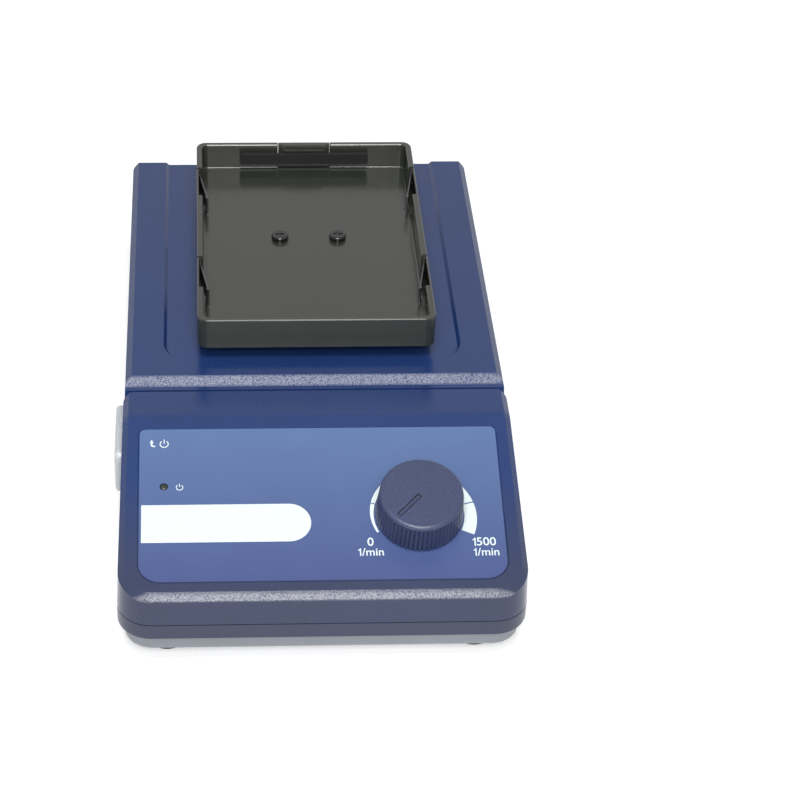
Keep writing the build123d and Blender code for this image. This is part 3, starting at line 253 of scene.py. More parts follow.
def remap(
    tree: bpy.types.NodeTree, value: object, low: float, high: float, to_low: object, to_high: object
) -> object:
    """Map a value from one range to another, held at both ends.

    Args:
        tree: The tree the node goes into.
        value: The socket with the value.
        low: The start of its range.
        high: The end of its range.
        to_low: The start of the new range, a number or a socket.
        to_high: The end of the new range, a number or a socket.

    Returns:
        The socket with the new value.
    """
    node = tree.nodes.new("ShaderNodeMapRange")
    tree.links.new(value, node.inputs["Value"])
    node.inputs["From Min"].default_value = low
    node.inputs["From Max"].default_value = high
    for name, target in (("To Min", to_low), ("To Max", to_high)):
        if isinstance(target, (int, float)):
            node.inputs[name].default_value = target
        else:
            tree.links.new(target, node.inputs[name])
    return node.outputs[0]


def grain_group() -> bpy.types.NodeTree:
    """The spark-eroded grain of a mould: round-topped pips of one size, with a few proud ones."""
    tree, into, out = new_group("Mould grain", {"Vector": None, "Pitch": 0.6 * MM}, ["Height", "Fleck"])
    scale = maths(tree, "DIVIDE", 1.0, into.outputs["Pitch"])
    cells = tree.nodes.new("ShaderNodeTexVoronoi")
    cells.feature = "SMOOTH_F1"
    tree.links.new(into.outputs["Vector"], cells.inputs["Vector"])
    tree.links.new(scale, cells.inputs["Scale"])
    pips = remap(tree, cells.outputs["Distance"], *PIP_SPAN, 1.0, 0.0)
    fine = noise(tree, into.outputs["Vector"], scale, 2.0)
    fine = maths(tree, "MULTIPLY", fine, PIP_FINE)
    height = maths(tree, "ADD", maths(tree, "MULTIPLY", pips, PIP_SHARE), fine)
    tree.links.new(height, out.inputs["Height"])
    # Fleck marks the highest pips, where the finishes paint pale glints.
    tree.links.new(remap(tree, height, *PIP_FLECKS, 0.0, 1.0), out.inputs["Fleck"])
    return tree


def drift_group() -> bpy.types.NodeTree:
    """Slow change of shade over a moulding, and faint handling marks."""
    tree, into, out = new_group(
        "Shade drift", {"Vector": None, "Size": 40 * MM, "Low": 0.9, "High": 1.1}, ["Shade", "Smear"]
    )
    scale = maths(tree, "DIVIDE", 1.0, into.outputs["Size"])
    slow = noise(tree, into.outputs["Vector"], scale, 3.0)
    tree.links.new(
        remap(tree, slow, *SHADE_SPAN, into.outputs["Low"], into.outputs["High"]), out.inputs["Shade"]
    )
    smear = noise(tree, into.outputs["Vector"], maths(tree, "MULTIPLY", scale, 4.0), 6.0, 0.7)
    tree.links.new(remap(tree, smear, *SMEAR_SPAN, 0.0, 1.0), out.inputs["Smear"])
    return tree


def brush_group() -> bpy.types.NodeTree:
    """Fine parallel lines left by rolling, drawing or turning a metal."""
    tree, into, out = new_group("Metal lines", {"Vector": None, "Pitch": 0.3 * MM}, ["Height", "Fleck"])
    stretch = tree.nodes.new("ShaderNodeVectorMath")
    stretch.operation = "MULTIPLY"
    stretch.inputs[1].default_value = LINE_STRETCH
    tree.links.new(into.outputs["Vector"], stretch.inputs[0])
    scale = maths(tree, "DIVIDE", 1.0, into.outputs["Pitch"])
    lines = noise(tree, stretch.outputs[0], scale, 4.0, 0.6)
    tree.links.new(lines, out.inputs["Height"])
    # Fleck marks the lines' crests, where the finishes paint pale glints.
    tree.links.new(remap(tree, lines, *LINE_FLECKS, 0.0, 1.0), out.inputs["Fleck"])
    return tree


def layer_group() -> bpy.types.NodeTree:
    """Level layers a set distance apart, for laminations and windings."""
    tree, into, out = new_group("Layers", {"Vector": None, "Pitch": 0.5 * MM}, ["Height", "Fleck"])
    split = tree.nodes.new("ShaderNodeSeparateXYZ")
    tree.links.new(into.outputs["Vector"], split.inputs[0])
    turns = maths(tree, "DIVIDE", split.outputs["Z"], into.outputs["Pitch"])
    wave = maths(tree, "SINE", maths(tree, "MULTIPLY", turns, 2 * math.pi))
    fine = noise(tree, into.outputs["Vector"], LAYER_NOISE, 2.0)
    fine = maths(tree, "MULTIPLY", fine, LAYER_FINE)
    height = maths(tree, "ADD", maths(tree, "MULTIPLY", wave, LAYER_SHARE), fine)
    tree.links.new(maths(tree, "ADD", height, LAYER_LEVEL), out.inputs["Height"])
    # Fleck marks the layers' crests, where the finishes paint pale glints.
    tree.links.new(remap(tree, wave, *LAYER_FLECKS, 0.0, 1.0), out.inputs["Fleck"])
    return tree


class Texture(Enum):
    """The surface patterns that a finish can choose."""

    GRAIN = "Mould grain"
    BRUSH = "Metal lines"
    LAYERS = "Layers"


GROUPS: dict[str, bpy.types.NodeTree] = {}


def group(name: str) -> bpy.types.NodeTree:
    """The shader group of that name, made the first time it is asked for.

    Args:
        name: The group's name.

    Returns:
        Its tree.
    """
    makers = {
        "Mould grain": grain_group,
        "Shade drift": drift_group,
        "Metal lines": brush_group,
        "Layers": layer_group,
    }
    if name not in GROUPS:
        GROUPS[name] = makers[name]()
    return GROUPS[name]


# ---------------------------------------------------------------- finishes

# Pale grey mixed into a finish's colour on the pattern's flecks: painted glints.
PAINTED_GLINT_GREY = (0.55, 0.56, 0.6, 1.0)


@dataclass(frozen=True)
class Finish:
    """A finish: its colour, its gloss and the pattern that roughens it.

    The colour drifts slowly over the piece, the pattern's flecks lighten it with painted glints, and the
    pattern's height feeds a bump.
    """

    name: str
    colour: Colour
    roughness: float = 0.45
    metallic: float = 0.0
    texture: Texture = Texture.GRAIN
    pitch: float = 0.7 * MM
    height: float = 0.03 * MM
    fleck: float = 0.1
    rough_spread: float = 0.08
    drift: float = 0.06
    drift_size: float = 45 * MM
    coat: float = 0.0
    coat_roughness: float = 0.2
    specular: float = 0.5
    transmission: float = 0.0
    ior: float = 1.5
    alpha: float = 1.0

    def make(self) -> bpy.types.Material:
        """Build the material.

        Returns:
            A node material with the pattern on Object coordinates.
        """
        material = bpy.data.materials.new(self.name)
        material.use_nodes = True
        tree = material.node_tree
        bsdf = tree.nodes["Principled BSDF"]
        place = tree.nodes.new("ShaderNodeTexCoord").outputs["Object"]
        pattern = self.add_group(tree, self.texture.value, place)
        pattern.inputs["Pitch"].default_value = self.pitch
        drift = self.add_group(tree, "Shade drift", place)
        drift.inputs["Size"].default_value = self.drift_size
        drift.inputs["Low"].default_value = 1.0 - self.drift
        drift.inputs["High"].default_value = 1.0 + self.drift
        self.wire_colour(tree, bsdf, pattern, drift, place)
        low = max(self.roughness - self.rough_spread, 0.02)
        high = min(self.roughness + self.rough_spread, 1.0)
        gloss = maths(tree, "ADD", drift.outputs["Smear"], pattern.outputs["Height"])
        tree.links.new(remap(tree, gloss, *GLOSS_SPAN, low, high), bsdf.inputs["Roughness"])
        bump = tree.nodes.new("ShaderNodeBump")
        bump.inputs["Strength"].default_value = 1.0
        bump.inputs["Distance"].default_value = self.height
        tree.links.new(pattern.outputs["Height"], bump.inputs["Height"])
        tree.links.new(bump.outputs["Normal"], bsdf.inputs["Normal"])
        bsdf.inputs["Metallic"].default_value = self.metallic
        bsdf.inputs["Specular IOR Level"].default_value = self.specular
        bsdf.inputs["Coat Weight"].default_value = self.coat
        bsdf.inputs["Coat Roughness"].default_value = self.coat_roughness
        bsdf.inputs["Transmission Weight"].default_value = self.transmission
        bsdf.inputs["IOR"].default_value = self.ior
        bsdf.inputs["Alpha"].default_value = self.alpha
        return material

    def add_group(self, tree: bpy.types.NodeTree, name: str, place: object) -> bpy.types.Node:
        """Place a shader group and feed it the piece's coordinates.

        Args:
            tree: The material's tree.
            name: The group's name.
            place: The coordinates.

        Returns:
            The group's node.
        """
        node = tree.nodes.new("ShaderNodeGroup")
        node.node_tree = group(name)
        tree.links.new(place, node.inputs["Vector"])
        return node

    def wire_colour(
        self, tree: bpy.types.NodeTree, bsdf: object, pattern: object, drift: object, place: object
    ) -> None:
        """Colour times the drift's shade, lightened towards a pale grey on the pattern's flecks: painted
        glints.

        Args:
            tree: The material's tree.
            bsdf: The shader that takes the colour.
            pattern: The pattern's group node.
            drift: The drift's group node.
            place: The coordinates.
        """
        shade = tree.nodes.new("ShaderNodeVectorMath")
        shade.operation = "SCALE"
        self.feed_colour(tree, place, shade.inputs[0])
        tree.links.new(drift.outputs["Shade"], shade.inputs["Scale"])
        mix = tree.nodes.new("ShaderNodeMix")
        mix.data_type = "RGBA"
        tree.links.new(self.glint_share(tree, pattern, place), mix.inputs["Factor"])
        tree.links.new(shade.outputs[0], mix.inputs["A"])
        mix.inputs["B"].default_value = PAINTED_GLINT_GREY
        tree.links.new(mix.outputs["Result"], bsdf.inputs["Base Color"])

    def feed_colour(self, tree: bpy.types.NodeTree, place: object, socket: object) -> None:
        """Set the colour before its shade drifts."""
        socket.default_value = self.colour

    def glint_share(self, tree: bpy.types.NodeTree, pattern: object, place: object) -> object:
        """How much of the painted glint colour shows: the flecks, at the finish's own strength."""
        return maths(tree, "MULTIPLY", pattern.outputs["Fleck"], self.fleck)


@dataclass(frozen=True)
class PaintedSheenFade(Finish):
    """A finish whose colour changes along Y: a painted reflection, lighter or greyer towards one end."""

    far_colour: Colour = (0.1, 0.1, 0.1)
    near: float = 0.0
    far: float = 1.0

    def feed_colour(self, tree: bpy.types.NodeTree, place: object, socket: object) -> None:
        """Blend two colours between two distances along Y.

        Args:
            tree: The material's tree.
            place: The coordinates.
            socket: The socket that takes the colour.
        """
        split = tree.nodes.new("ShaderNodeSeparateXYZ")
        tree.links.new(place, split.inputs[0])
        share = remap(tree, split.outputs["Y"], self.near, self.far, 0.0, 1.0)
        mix = tree.nodes.new("ShaderNodeMix")
        mix.data_type = "RGBA"
        tree.links.new(share, mix.inputs["Factor"])
        mix.inputs["A"].default_value = (*self.colour, 1.0)
        mix.inputs["B"].default_value = (*self.far_colour, 1.0)
        tree.links.new(mix.outputs["Result"], socket)


@dataclass(frozen=True)
class PaintedGlintEdges(PaintedSheenFade):
    """A finish whose bevelled edges get a painted highlight: the grain's tips are painted pale there, as
    glints.
    """

    glint_level: float = 0.56
    blur: float = 1.1 * MM
    edges: tuple[Point, ...] = ()

    def glint_share(self, tree: bpy.types.NodeTree, pattern: object, place: object) -> object:
        """The flecks, or on an edge the grain's tips painted pale as glints where those are stronger.

        Args:
            tree: The material's tree.
            pattern: The pattern's group node.
            place: The coordinates.

        Returns:
            The share. An edge runs from its first to its second value along Y, above its third along Z.
        """
        # On the bevels the grain's tips are painted pale: a painted highlight in place of the bevels' glints.
        tips = remap(tree, pattern.outputs["Height"], *PIP_TIPS, 0.0, self.glint_level)
        share = super().glint_share(tree, pattern, place)
        split = tree.nodes.new("ShaderNodeSeparateXYZ")
        tree.links.new(place, split.inputs[0])
        for front, rear, level in self.edges:
            after = remap(tree, split.outputs["Y"], front - self.blur, front, 0.0, 1.0)
            before = remap(tree, split.outputs["Y"], rear, rear + self.blur, 1.0, 0.0)
            above = remap(tree, split.outputs["Z"], level - self.blur, level, 0.0, 1.0)
            here = maths(tree, "MULTIPLY", maths(tree, "MULTIPLY", after, before), above)
            share = maths(tree, "MAXIMUM", share, maths(tree, "MULTIPLY", here, tips))
        return share


@dataclass(frozen=True)
class Paper(Finish):
    """White paper that shows as pure white and keeps the object's shadow."""

    lift: float = 0.42

    def make(self) -> bpy.types.Material:
        """Build the material, and let the camera and mirrors see it a little lighter than it is."""
        made = super().make()
        tree = made.node_tree
        bsdf = tree.nodes["Principled BSDF"]
        bsdf.inputs["Emission Color"].default_value = (1.0, 1.0, 1.0, 1.0)
        tree.links.new(maths(tree, "MULTIPLY", seen_rays(tree), self.lift), bsdf.inputs["Emission Strength"])
        return made


def seen_rays(tree: bpy.types.NodeTree) -> object:
    """One for the rays that show the background: straight, mirrored or through a clear piece.

    Args:
        tree: The tree the nodes go into.

    Returns:
        The socket, 1 for such a ray and 0 for any other.
    """
    path = tree.nodes.new("ShaderNodeLightPath")
    bent = maths(tree, "MAXIMUM", path.outputs["Is Glossy Ray"], path.outputs["Is Transmission Ray"])
    return maths(tree, "MAXIMUM", path.outputs["Is Camera Ray"], bent)


FRONT_BEVEL: Point = (-0.1300, -0.1269, 0.0337)
DECK_STEP: Point = (-0.0331, -0.0306, 0.0593)

# Greyer towards the front face: painted reflection of the pale floor. Pale grain tips on the front bevel and
# the deck's step: painted highlight.
CASE_BLUE = PaintedGlintEdges("case_blue", (0.034, 0.043, 0.090), roughness=0.24, pitch=0.5 * MM,
                        height=0.028 * MM, fleck=0.04, drift=0.05, specular=0.32,
                        far_colour=(0.013, 0.036, 0.135), near=-0.126, far=-0.080,
                        edges=(FRONT_BEVEL, DECK_STEP))
# Greyer than the deck's blue, to match the front face: painted reflection of the pale floor.
SKIRT_BLUE = Finish("skirt_blue", (0.036, 0.044, 0.082), roughness=0.36, pitch=0.5 * MM, height=0.035 * MM,
                    fleck=0.04, drift=0.05, specular=0.32)
PAN_GREY = Finish("pan_grey", (0.225, 0.242, 0.272), roughness=0.5, pitch=1.1 * MM, height=0.02 * MM,
                  fleck=0.05)
FOOT_RUBBER = Finish("foot_rubber", (0.012, 0.012, 0.013), roughness=0.75, pitch=0.5 * MM, height=0.03 * MM,
                     fleck=0.02)
ZINC = Finish("zinc_plate", (0.52, 0.52, 0.50), roughness=0.35, metallic=1.0, texture=Texture.BRUSH,
              pitch=0.25 * MM, height=0.006 * MM, fleck=0.1)
BLACK_STEEL = Finish("black_steel", (0.006, 0.006, 0.007), roughness=0.16, texture=Texture.BRUSH,
                     pitch=0.3 * MM, height=0.004 * MM, fleck=0.02)
# Lighter towards the panel's upper edge: painted reflection on the glossy foil.
LABEL_FOIL = PaintedSheenFade("label_foil", (0.045, 0.070, 0.205), roughness=0.36, pitch=0.35 * MM, height=0.004 * MM,
                  fleck=0.0, drift=0.03, drift_size=60 * MM, far_colour=(0.088, 0.150, 0.310),
                  near=-0.122, far=-0.058)
WHITE_INK = Finish("white_ink", (0.69, 0.78, 0.78), roughness=0.5, pitch=0.3 * MM, height=0.002 * MM,
                   fleck=0.0, drift=0.015)
KNOB_BODY = Finish("knob_body", (0.032, 0.044, 0.105), roughness=0.36, pitch=0.55 * MM, height=0.06 * MM,
                   fleck=0.10)
BLACK_PLASTIC = Finish("black_plastic", (0.013, 0.013, 0.015), roughness=0.38, pitch=0.5 * MM,
                       height=0.02 * MM, fleck=0.03)
LAMP_LENS = Finish("lamp_lens", (0.018, 0.024, 0.018), roughness=0.3, pitch=0.4 * MM, height=0.003 * MM,
                   fleck=0.0)
CLEAR_COVER = Finish("clear_cover", (0.80, 0.83, 0.86), roughness=0.24, pitch=1.2 * MM, height=0.03 * MM,
                     fleck=0.0, transmission=0.45, ior=1.46)
BRASS = Finish("brass", (0.60, 0.44, 0.18), roughness=0.3, metallic=1.0, texture=Texture.BRUSH,
               pitch=0.3 * MM, height=0.006 * MM)
BRONZE = Finish("bronze", (0.42, 0.27, 0.13), roughness=0.4, metallic=1.0, pitch=0.4 * MM, height=0.02 * MM)
GLASS_TUBE = Finish("glass_tube", (0.85, 0.88, 0.88), roughness=0.05, pitch=2 * MM, height=0.001 * MM,
                    fleck=0.0, transmission=0.85, ior=1.5, rough_spread=0.02)
BOARD_GREEN = Finish("board_green", (0.020, 0.10, 0.045), roughness=0.4, pitch=0.8 * MM, height=0.02 * MM,
                     fleck=0.05, coat=0.3)
PART_PLASTIC = Finish("part_plastic", (0.04, 0.05, 0.08), roughness=0.45, pitch=0.6 * MM)
SINK_METAL = Finish("sink_aluminium", (0.50, 0.51, 0.53), roughness=0.45, metallic=1.0,
                    texture=Texture.BRUSH, pitch=0.4 * MM, height=0.01 * MM)
CAST_METAL = Finish("cast_aluminium", (0.52, 0.53, 0.54), roughness=0.55, metallic=0.9, pitch=0.9 * MM,
                    height=0.06 * MM, fleck=0.12)
LEAD_SLEEVE = Finish("lead_sleeve", (0.02, 0.02, 0.022), roughness=0.5, pitch=0.6 * MM, height=0.02 * MM)
CORE_STEEL = Finish("core_steel", (0.22, 0.22, 0.23), roughness=0.5, metallic=0.8, texture=Texture.LAYERS,
                    pitch=0.5 * MM, height=0.06 * MM, fleck=0.15)
COPPER = Finish("copper_winding", (0.48, 0.20, 0.08), roughness=0.32, metallic=0.9, texture=Texture.LAYERS,
                pitch=0.32 * MM, height=0.08 * MM, fleck=0.1, coat=0.4)
GROUND_STEEL = Finish("ground_steel", (0.62, 0.62, 0.61), roughness=0.22, metallic=1.0,
                      texture=Texture.BRUSH, pitch=0.2 * MM, height=0.004 * MM)
FAN_PLASTIC = Finish("fan_plastic", (0.62, 0.60, 0.54), roughness=0.5, pitch=0.7 * MM)
TRAY_BLACK = Finish("tray_black", (0.030, 0.033, 0.027), roughness=0.20, pitch=6 * MM, height=0.004 * MM,
                    fleck=0.0, rough_spread=0.05, drift=0.05)
SPRING_STEEL = Finish("spring_steel", (0.10, 0.10, 0.105), roughness=0.3, metallic=0.8,
                      texture=Texture.BRUSH, pitch=0.3 * MM, height=0.006 * MM)
PAD_RUBBER = Finish("pad_rubber", (0.006, 0.006, 0.007), roughness=0.6, pitch=0.5 * MM, height=0.03 * MM,
                    fleck=0.01)

DRESS: dict[Finish, list[str]] = {
    CASE_BLUE: ["upper_housing"],
    SKIRT_BLUE: ["lower_housing"],
    PAN_GREY: ["base_plate"],
    FOOT_RUBBER: ["rubber_feet"],
    ZINC: ["foot_screws", "pot_body", "pot_nut", "board_screws", "frame_screws", "motor_brackets",
           "motor_bolts", "motor_spacers", "counterweight"],
    LABEL_FOIL: ["control_label"],
    KNOB_BODY: ["speed_knob"],
    BLACK_STEEL: ["knob_set_screw", "tray_screws"],
    LAMP_LENS: ["status_lamp"],
    BLACK_PLASTIC: ["lamp_bush", "switch_body", "switch_rocker", "inlet_shell", "fuse_drawer", "splash_ring"],
    CLEAR_COVER: ["switch_cover"],
    BRASS: ["inlet_blades", "board_standoffs"],
    BRONZE: ["idler_bushes", "shaft_bearings", "table_bushes"],
    GLASS_TUBE: ["fuses"],
    BOARD_GREEN: ["control_board", "terminal_block"],
    PART_PLASTIC: ["board_capacitors"],
    SINK_METAL: ["heat_sink"],
    CAST_METAL: ["bearing_frame", "table_plate"],
    LEAD_SLEEVE: ["mains_lead", "board_lead", "motor_lead"],
    CORE_STEEL: ["motor_core", "motor_rotor"],
    COPPER: ["motor_coil"],
    GROUND_STEEL: ["motor_shaft", "pot_spindle", "eccentric_hub", "table_bearing", "clamp_pin", "idler_1",
                   "idler_2", "idler_3", "idler_4"],
    FAN_PLASTIC: ["cooling_fan"],
    TRAY_BLACK: ["plate_tray", "rear_clamp"],
    SPRING_STEEL: ["clip_left_front", "clip_right_front", "clip_left_rear", "clip_right_rear"],
    PAD_RUBBER: ["clamp_bar"],
}

MADE: dict[Finish, bpy.types.Material] = {}


def material(finish: Finish) -> bpy.types.Material:
    """The material of a finish, made the first time it is asked for.

    Args:
        finish: The finish.

    Returns:
        Its material.
    """
    if finish not in MADE:
        MADE[finish] = finish.make()
    return MADE[finish]


def put_on(thing: bpy.types.Object, finish: Finish) -> None:
    """Give an object one material."""
    thing.data.materials.clear()
    thing.data.materials.append(material(finish))


# ---------------------------------------------------------------- sub-assemblies


@dataclass
class Panel:
    """The sloped panel's plane: x to the right, down the slope from its upper edge, and out of it."""

    upper_edge_y: float = -52.5 * MM
    upper_edge_z: float = 59.2 * MM
    angle: float = 17.5
    label_level: float = -0.2 * MM
    knob_x: float = 35.8 * MM
    knob_along: float = 45.0 * MM

    def down(self) -> np.ndarray:
        """The unit vector down the slope."""
        turn = math.radians(self.angle)
        return np.array([0.0, -math.cos(turn), -math.sin(turn)])

    def out(self) -> np.ndarray:
        """The unit vector out of the panel."""
        turn = math.radians(self.angle)
        return np.array([0.0, -math.sin(turn), math.cos(turn)])

    def at(self, x: np.ndarray, along: np.ndarray, lift: float) -> np.ndarray:
        """Points on the panel.

        Args:
            x: Distances to the right.
            along: Distances down the slope.
            lift: Height over the panel.

        Returns:
            The points: the upper edge's point, plus along times the slope, plus lift times the normal.
        """
        x, along = np.broadcast_arrays(np.asarray(x, float), np.asarray(along, float))
        start = np.stack([x, np.full_like(x, self.upper_edge_y), np.full_like(x, self.upper_edge_z)], axis=-1)
        return start + along[..., None] * self.down() + lift * self.out()

    def matrix(self, x: float, along: float, lift: float) -> Matrix:
        """A matrix that lays a flat thing drawn in XY on the panel.

        Args:
            x: Distance to the right.
            along: Distance down the slope.
            lift: Height over the panel.

        Returns:
            The matrix: X stays to the right, Y points up the slope, and Z out of it.
        """
        right, up, out = Vector((1, 0, 0)), Vector(-self.down()), Vector(self.out())
        turn = Matrix((right, up, out)).transposed().to_4x4()
        return Matrix.Translation(Vector(self.at(np.array(x), np.array(along), lift))) @ turn


@dataclass
class LabelPrint:
    """The white print on the panel's foil: bar, dial, plain numbers and two signs."""

    panel: Panel = field(default_factory=Panel)
    ink: float = 0.03 * MM
    bar_left: float = -65.9 * MM
    bar_right: float = -3.9 * MM
    bar_top: float = 39.7 * MM
    bar_bottom: float = 56.0 * MM
    dial_inner: float = 16.7 * MM
    dial_outer_start: float = 17.5 * MM
    dial_outer_end: float = 21.6 * MM
    dial_start: float = 206.0
    dial_end: float = -24.5
    gap: float = 0.42 * MM
    gaps: tuple[float, ...] = (163.5, 128.0, 51.0, 14.5)
    number_size: float = 4.9 * MM
    unit_size: float = 4.6 * MM
    bold: float = 0.05 * MM
    sign_line: float = 0.26
    sign_opening: float = 38.0

    def lay(self, thing: bpy.types.Object) -> None:
        """Put a printed piece in white ink on the case.

        Args:
            thing: The piece.
        """
        put_on(thing, WHITE_INK)
        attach(thing, "root")
        LOG.info("piece %s", thing.name)

    def thickness(self) -> np.ndarray:
        """The print's thickness as a vector out of the panel."""
        return self.panel.out() * self.ink

    def bar(self) -> None:
        """The bar: square at the label's edge, and a half circle at its other end."""
        radius = (self.bar_bottom - self.bar_top) / 2
        middle = (self.bar_bottom + self.bar_top) / 2
        turn = np.linspace(-math.pi / 2, math.pi / 2, 40)
        x = np.concatenate([[self.bar_left], self.bar_right - radius + radius * np.cos(turn), [self.bar_left]])
        along = np.concatenate([[self.bar_bottom], middle - radius * np.sin(turn), [self.bar_top]])
        outline = self.panel.at(x, along, self.panel.label_level)
        thing = plate_from_outline("print_bar", outline, self.thickness())
        tidy_normals(thing)
        self.lay(thing)

    def dial(self) -> None:
        """The dial's widening band, cut by thin gaps: inner radius constant, outer growing with the turn."""
        cuts = [self.dial_start, *self.gaps, self.dial_end]
        for number, (a, b) in enumerate(zip(cuts[:-1], cuts[1:])):
            half = math.degrees(self.gap / 2 / self.dial_inner)
            first = a - (half if number else 0.0)
            last = b + (half if number < len(cuts) - 2 else 0.0)
            turn = np.linspace(first, last, 60)
            share = (self.dial_start - turn) / (self.dial_start - self.dial_end)
            outer = self.dial_outer_start + (self.dial_outer_end - self.dial_outer_start) * share
            lines = []
            for radius in (np.full_like(turn, self.dial_inner), outer):
                x = self.panel.knob_x + radius * np.cos(np.radians(turn))
                along = self.panel.knob_along - radius * np.sin(np.radians(turn))
                lines.append(self.panel.at(x, along, self.panel.label_level))
            self.lay(band_plate(f"print_dial_{number + 1}", lines[0], lines[1], self.thickness()))

    def words(self, name: str, text: str, x: float, along: float, size: float) -> None:
        """Plain numbers or a unit, centred on a place.

        Args:
            name: The piece's name.
            text: What it says.
            x: Place to the right.
            along: Place down the slope.
            size: Letter size.
        """
        curve = bpy.data.curves.new(name, "FONT")
        curve.body = text
        curve.size = size
        curve.offset = self.bold
        curve.extrude = self.ink / 2
        curve.align_x = "CENTER"
        curve.align_y = "CENTER"
        draft = bpy.data.objects.new(name + "_draft", curve)
        bpy.context.scene.collection.objects.link(draft)
        bpy.context.view_layer.update()
        mesh = bpy.data.meshes.new_from_object(draft)
        bpy.data.objects.remove(draft)
        mesh.transform(self.panel.matrix(x, along, self.panel.label_level + self.ink / 2))
        mesh.name = name
        thing = bpy.data.objects.new(name, mesh)
        bpy.context.scene.collection.objects.link(thing)
        self.lay(thing)

    def one(self, name: str, x: float, along: float, height: float) -> None:
        """A plain numeral one with its flag, standing on a place.

        Args:
            name: The piece's name.
            x: Its left side's place to the right.
            along: Its foot's place down the slope.
            height: Its height.
        """
        right = np.array([0.20, 0.345, 0.345, 0.235, 0.16, 0.02, 0.02, 0.20]) * height
        up = np.array([0.0, 0.0, 1.0, 1.0, 0.88, 0.79, 0.66, 0.74]) * height
        outline = self.panel.at(x + right, along - up, self.panel.label_level)
        thing = plate_from_outline(name, outline, self.thickness())
        tidy_normals(thing)
        self.lay(thing)

    def arrow(self, x: float, along: float) -> None:
        """A bent arrow that points to the switch at the side: its outline, once round."""
        right = np.array([0.35, 1.35, 1.8, 2.3, 1.7, 1.05, 1.05, 1.5, 0.75, 0.0, 0.45, 0.45]) * MM
        up = np.array([0.45, -0.15, -0.15, 0.35, 0.4, 0.8, 1.7, 1.7, 3.2, 1.7, 1.7, 0.8]) * MM
        outline = self.panel.at(x + right, along - up, self.panel.label_level)
        thing = plate_from_outline("print_arrow", outline, self.thickness())
        tidy_normals(thing)
        self.lay(thing)

    def power_sign(self, name: str, x: float, along: float, radius: float) -> None:
        """The usual sign for power: an open ring with a bar in its opening.

        Args:
            name: The piece's name.
            x: The centre's place to the right.
            along: The centre's place down the slope.
            radius: The ring's middle radius.
        """
        line = radius * self.sign_line
        turn = np.radians(np.linspace(90 + self.sign_opening, 450 - self.sign_opening, 48))
        lines = [
            self.panel.at(x + r * np.cos(turn), along - r * np.sin(turn), self.panel.label_level)
            for r in (radius - line / 2, radius + line / 2)
        ]
        self.lay(band_plate(name + "_ring", lines[0], lines[1], self.thickness()))
        across = np.array([-line / 2, line / 2, line / 2, -line / 2])
        up = np.array([0.15, 0.15, 1.35, 1.35]) * radius
        outline = self.panel.at(x + across, along - up, self.panel.label_level)
        thing = plate_from_outline(name + "_bar", outline, self.thickness())
        tidy_normals(thing)
        self.lay(thing)

    def build(self) -> None:
        """Make every printed piece."""
        self.bar()
        self.dial()
        self.words("print_low", "0", 17.4 * MM, 56.8 * MM, self.number_size)
        self.one("print_low_unit_one", 12.7 * MM, 62.6 * MM, 3.2 * MM)
        self.words("print_low_unit", "/min", 18.2 * MM, 61.1 * MM, self.unit_size)
        self.one("print_high_one", 54.6 * MM, 58.9 * MM, 3.5 * MM)
        self.words("print_high", "500", 59.6 * MM, 57.2 * MM, self.number_size)
        self.one("print_high_unit_one", 54.7 * MM, 63.1 * MM, 3.2 * MM)
        self.words("print_high_unit", "/min", 60.2 * MM, 61.6 * MM, self.unit_size)
        self.arrow(-63.0 * MM, 13.7 * MM)
        self.power_sign("print_power_switch", -57.6 * MM, 12.5 * MM, 1.5 * MM)
        self.power_sign("print_power_lamp", -51.9 * MM, 32.0 * MM, 1.2 * MM)


@dataclass
class KnobMark:
    """The pointer in the knob's slot: a black sheet of painted shade on its floor, and a core that leaves a
    dark line of painted shade round it.
    """

    panel: Panel = field(default_factory=Panel)
    angle: float = 226.5
    start: float = 0.95 * MM
    end: float = 12.55 * MM
    width: float = 1.84 * MM
    floor: float = 13.2 * MM
    floor_thickness: float = 0.05 * MM
    # Width of the dark outline of painted shade left round the core.
    line: float = 0.42 * MM
    core_thickness: float = 0.4 * MM

    def slab(self, name: str, inset: float, lift: float, thickness: float, finish: Finish) -> None:
        """A flat bar along the pointer.

        Args:
            name: The piece's name.
            inset: How far it stays from the slot's wall.
            lift: Its lower face's height over the panel.
            thickness: Its thickness.
            finish: Its finish.
        """
        turn = math.radians(self.angle)
        low, high, half = self.start + inset, self.end - inset, self.width / 2 - inset
        run = np.array([low, high, high, low])
        side = np.array([-half, -half, half, half])
        x = self.panel.knob_x + run * math.cos(turn) - side * math.sin(turn)
        along = self.panel.knob_along - run * math.sin(turn) - side * math.cos(turn)
        thing = plate_from_outline(name, self.panel.at(x, along, lift), self.panel.out() * thickness)
        tidy_normals(thing)
        put_on(thing, finish)
        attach(thing, "knob")
        LOG.info("piece %s", name)

    def build(self) -> None:
        """Make the painted-shade sheet and the core, which turn with the knob."""
        # Black sheet in the slot, showing round the core as a dark outline: painted shade of the slot's walls.
        self.slab("pointer_shade_sheet", 0.0, self.floor, self.floor_thickness, PAD_RUBBER)
        self.slab("pointer_core", self.line, self.floor + self.floor_thickness, self.core_thickness, KNOB_BODY)


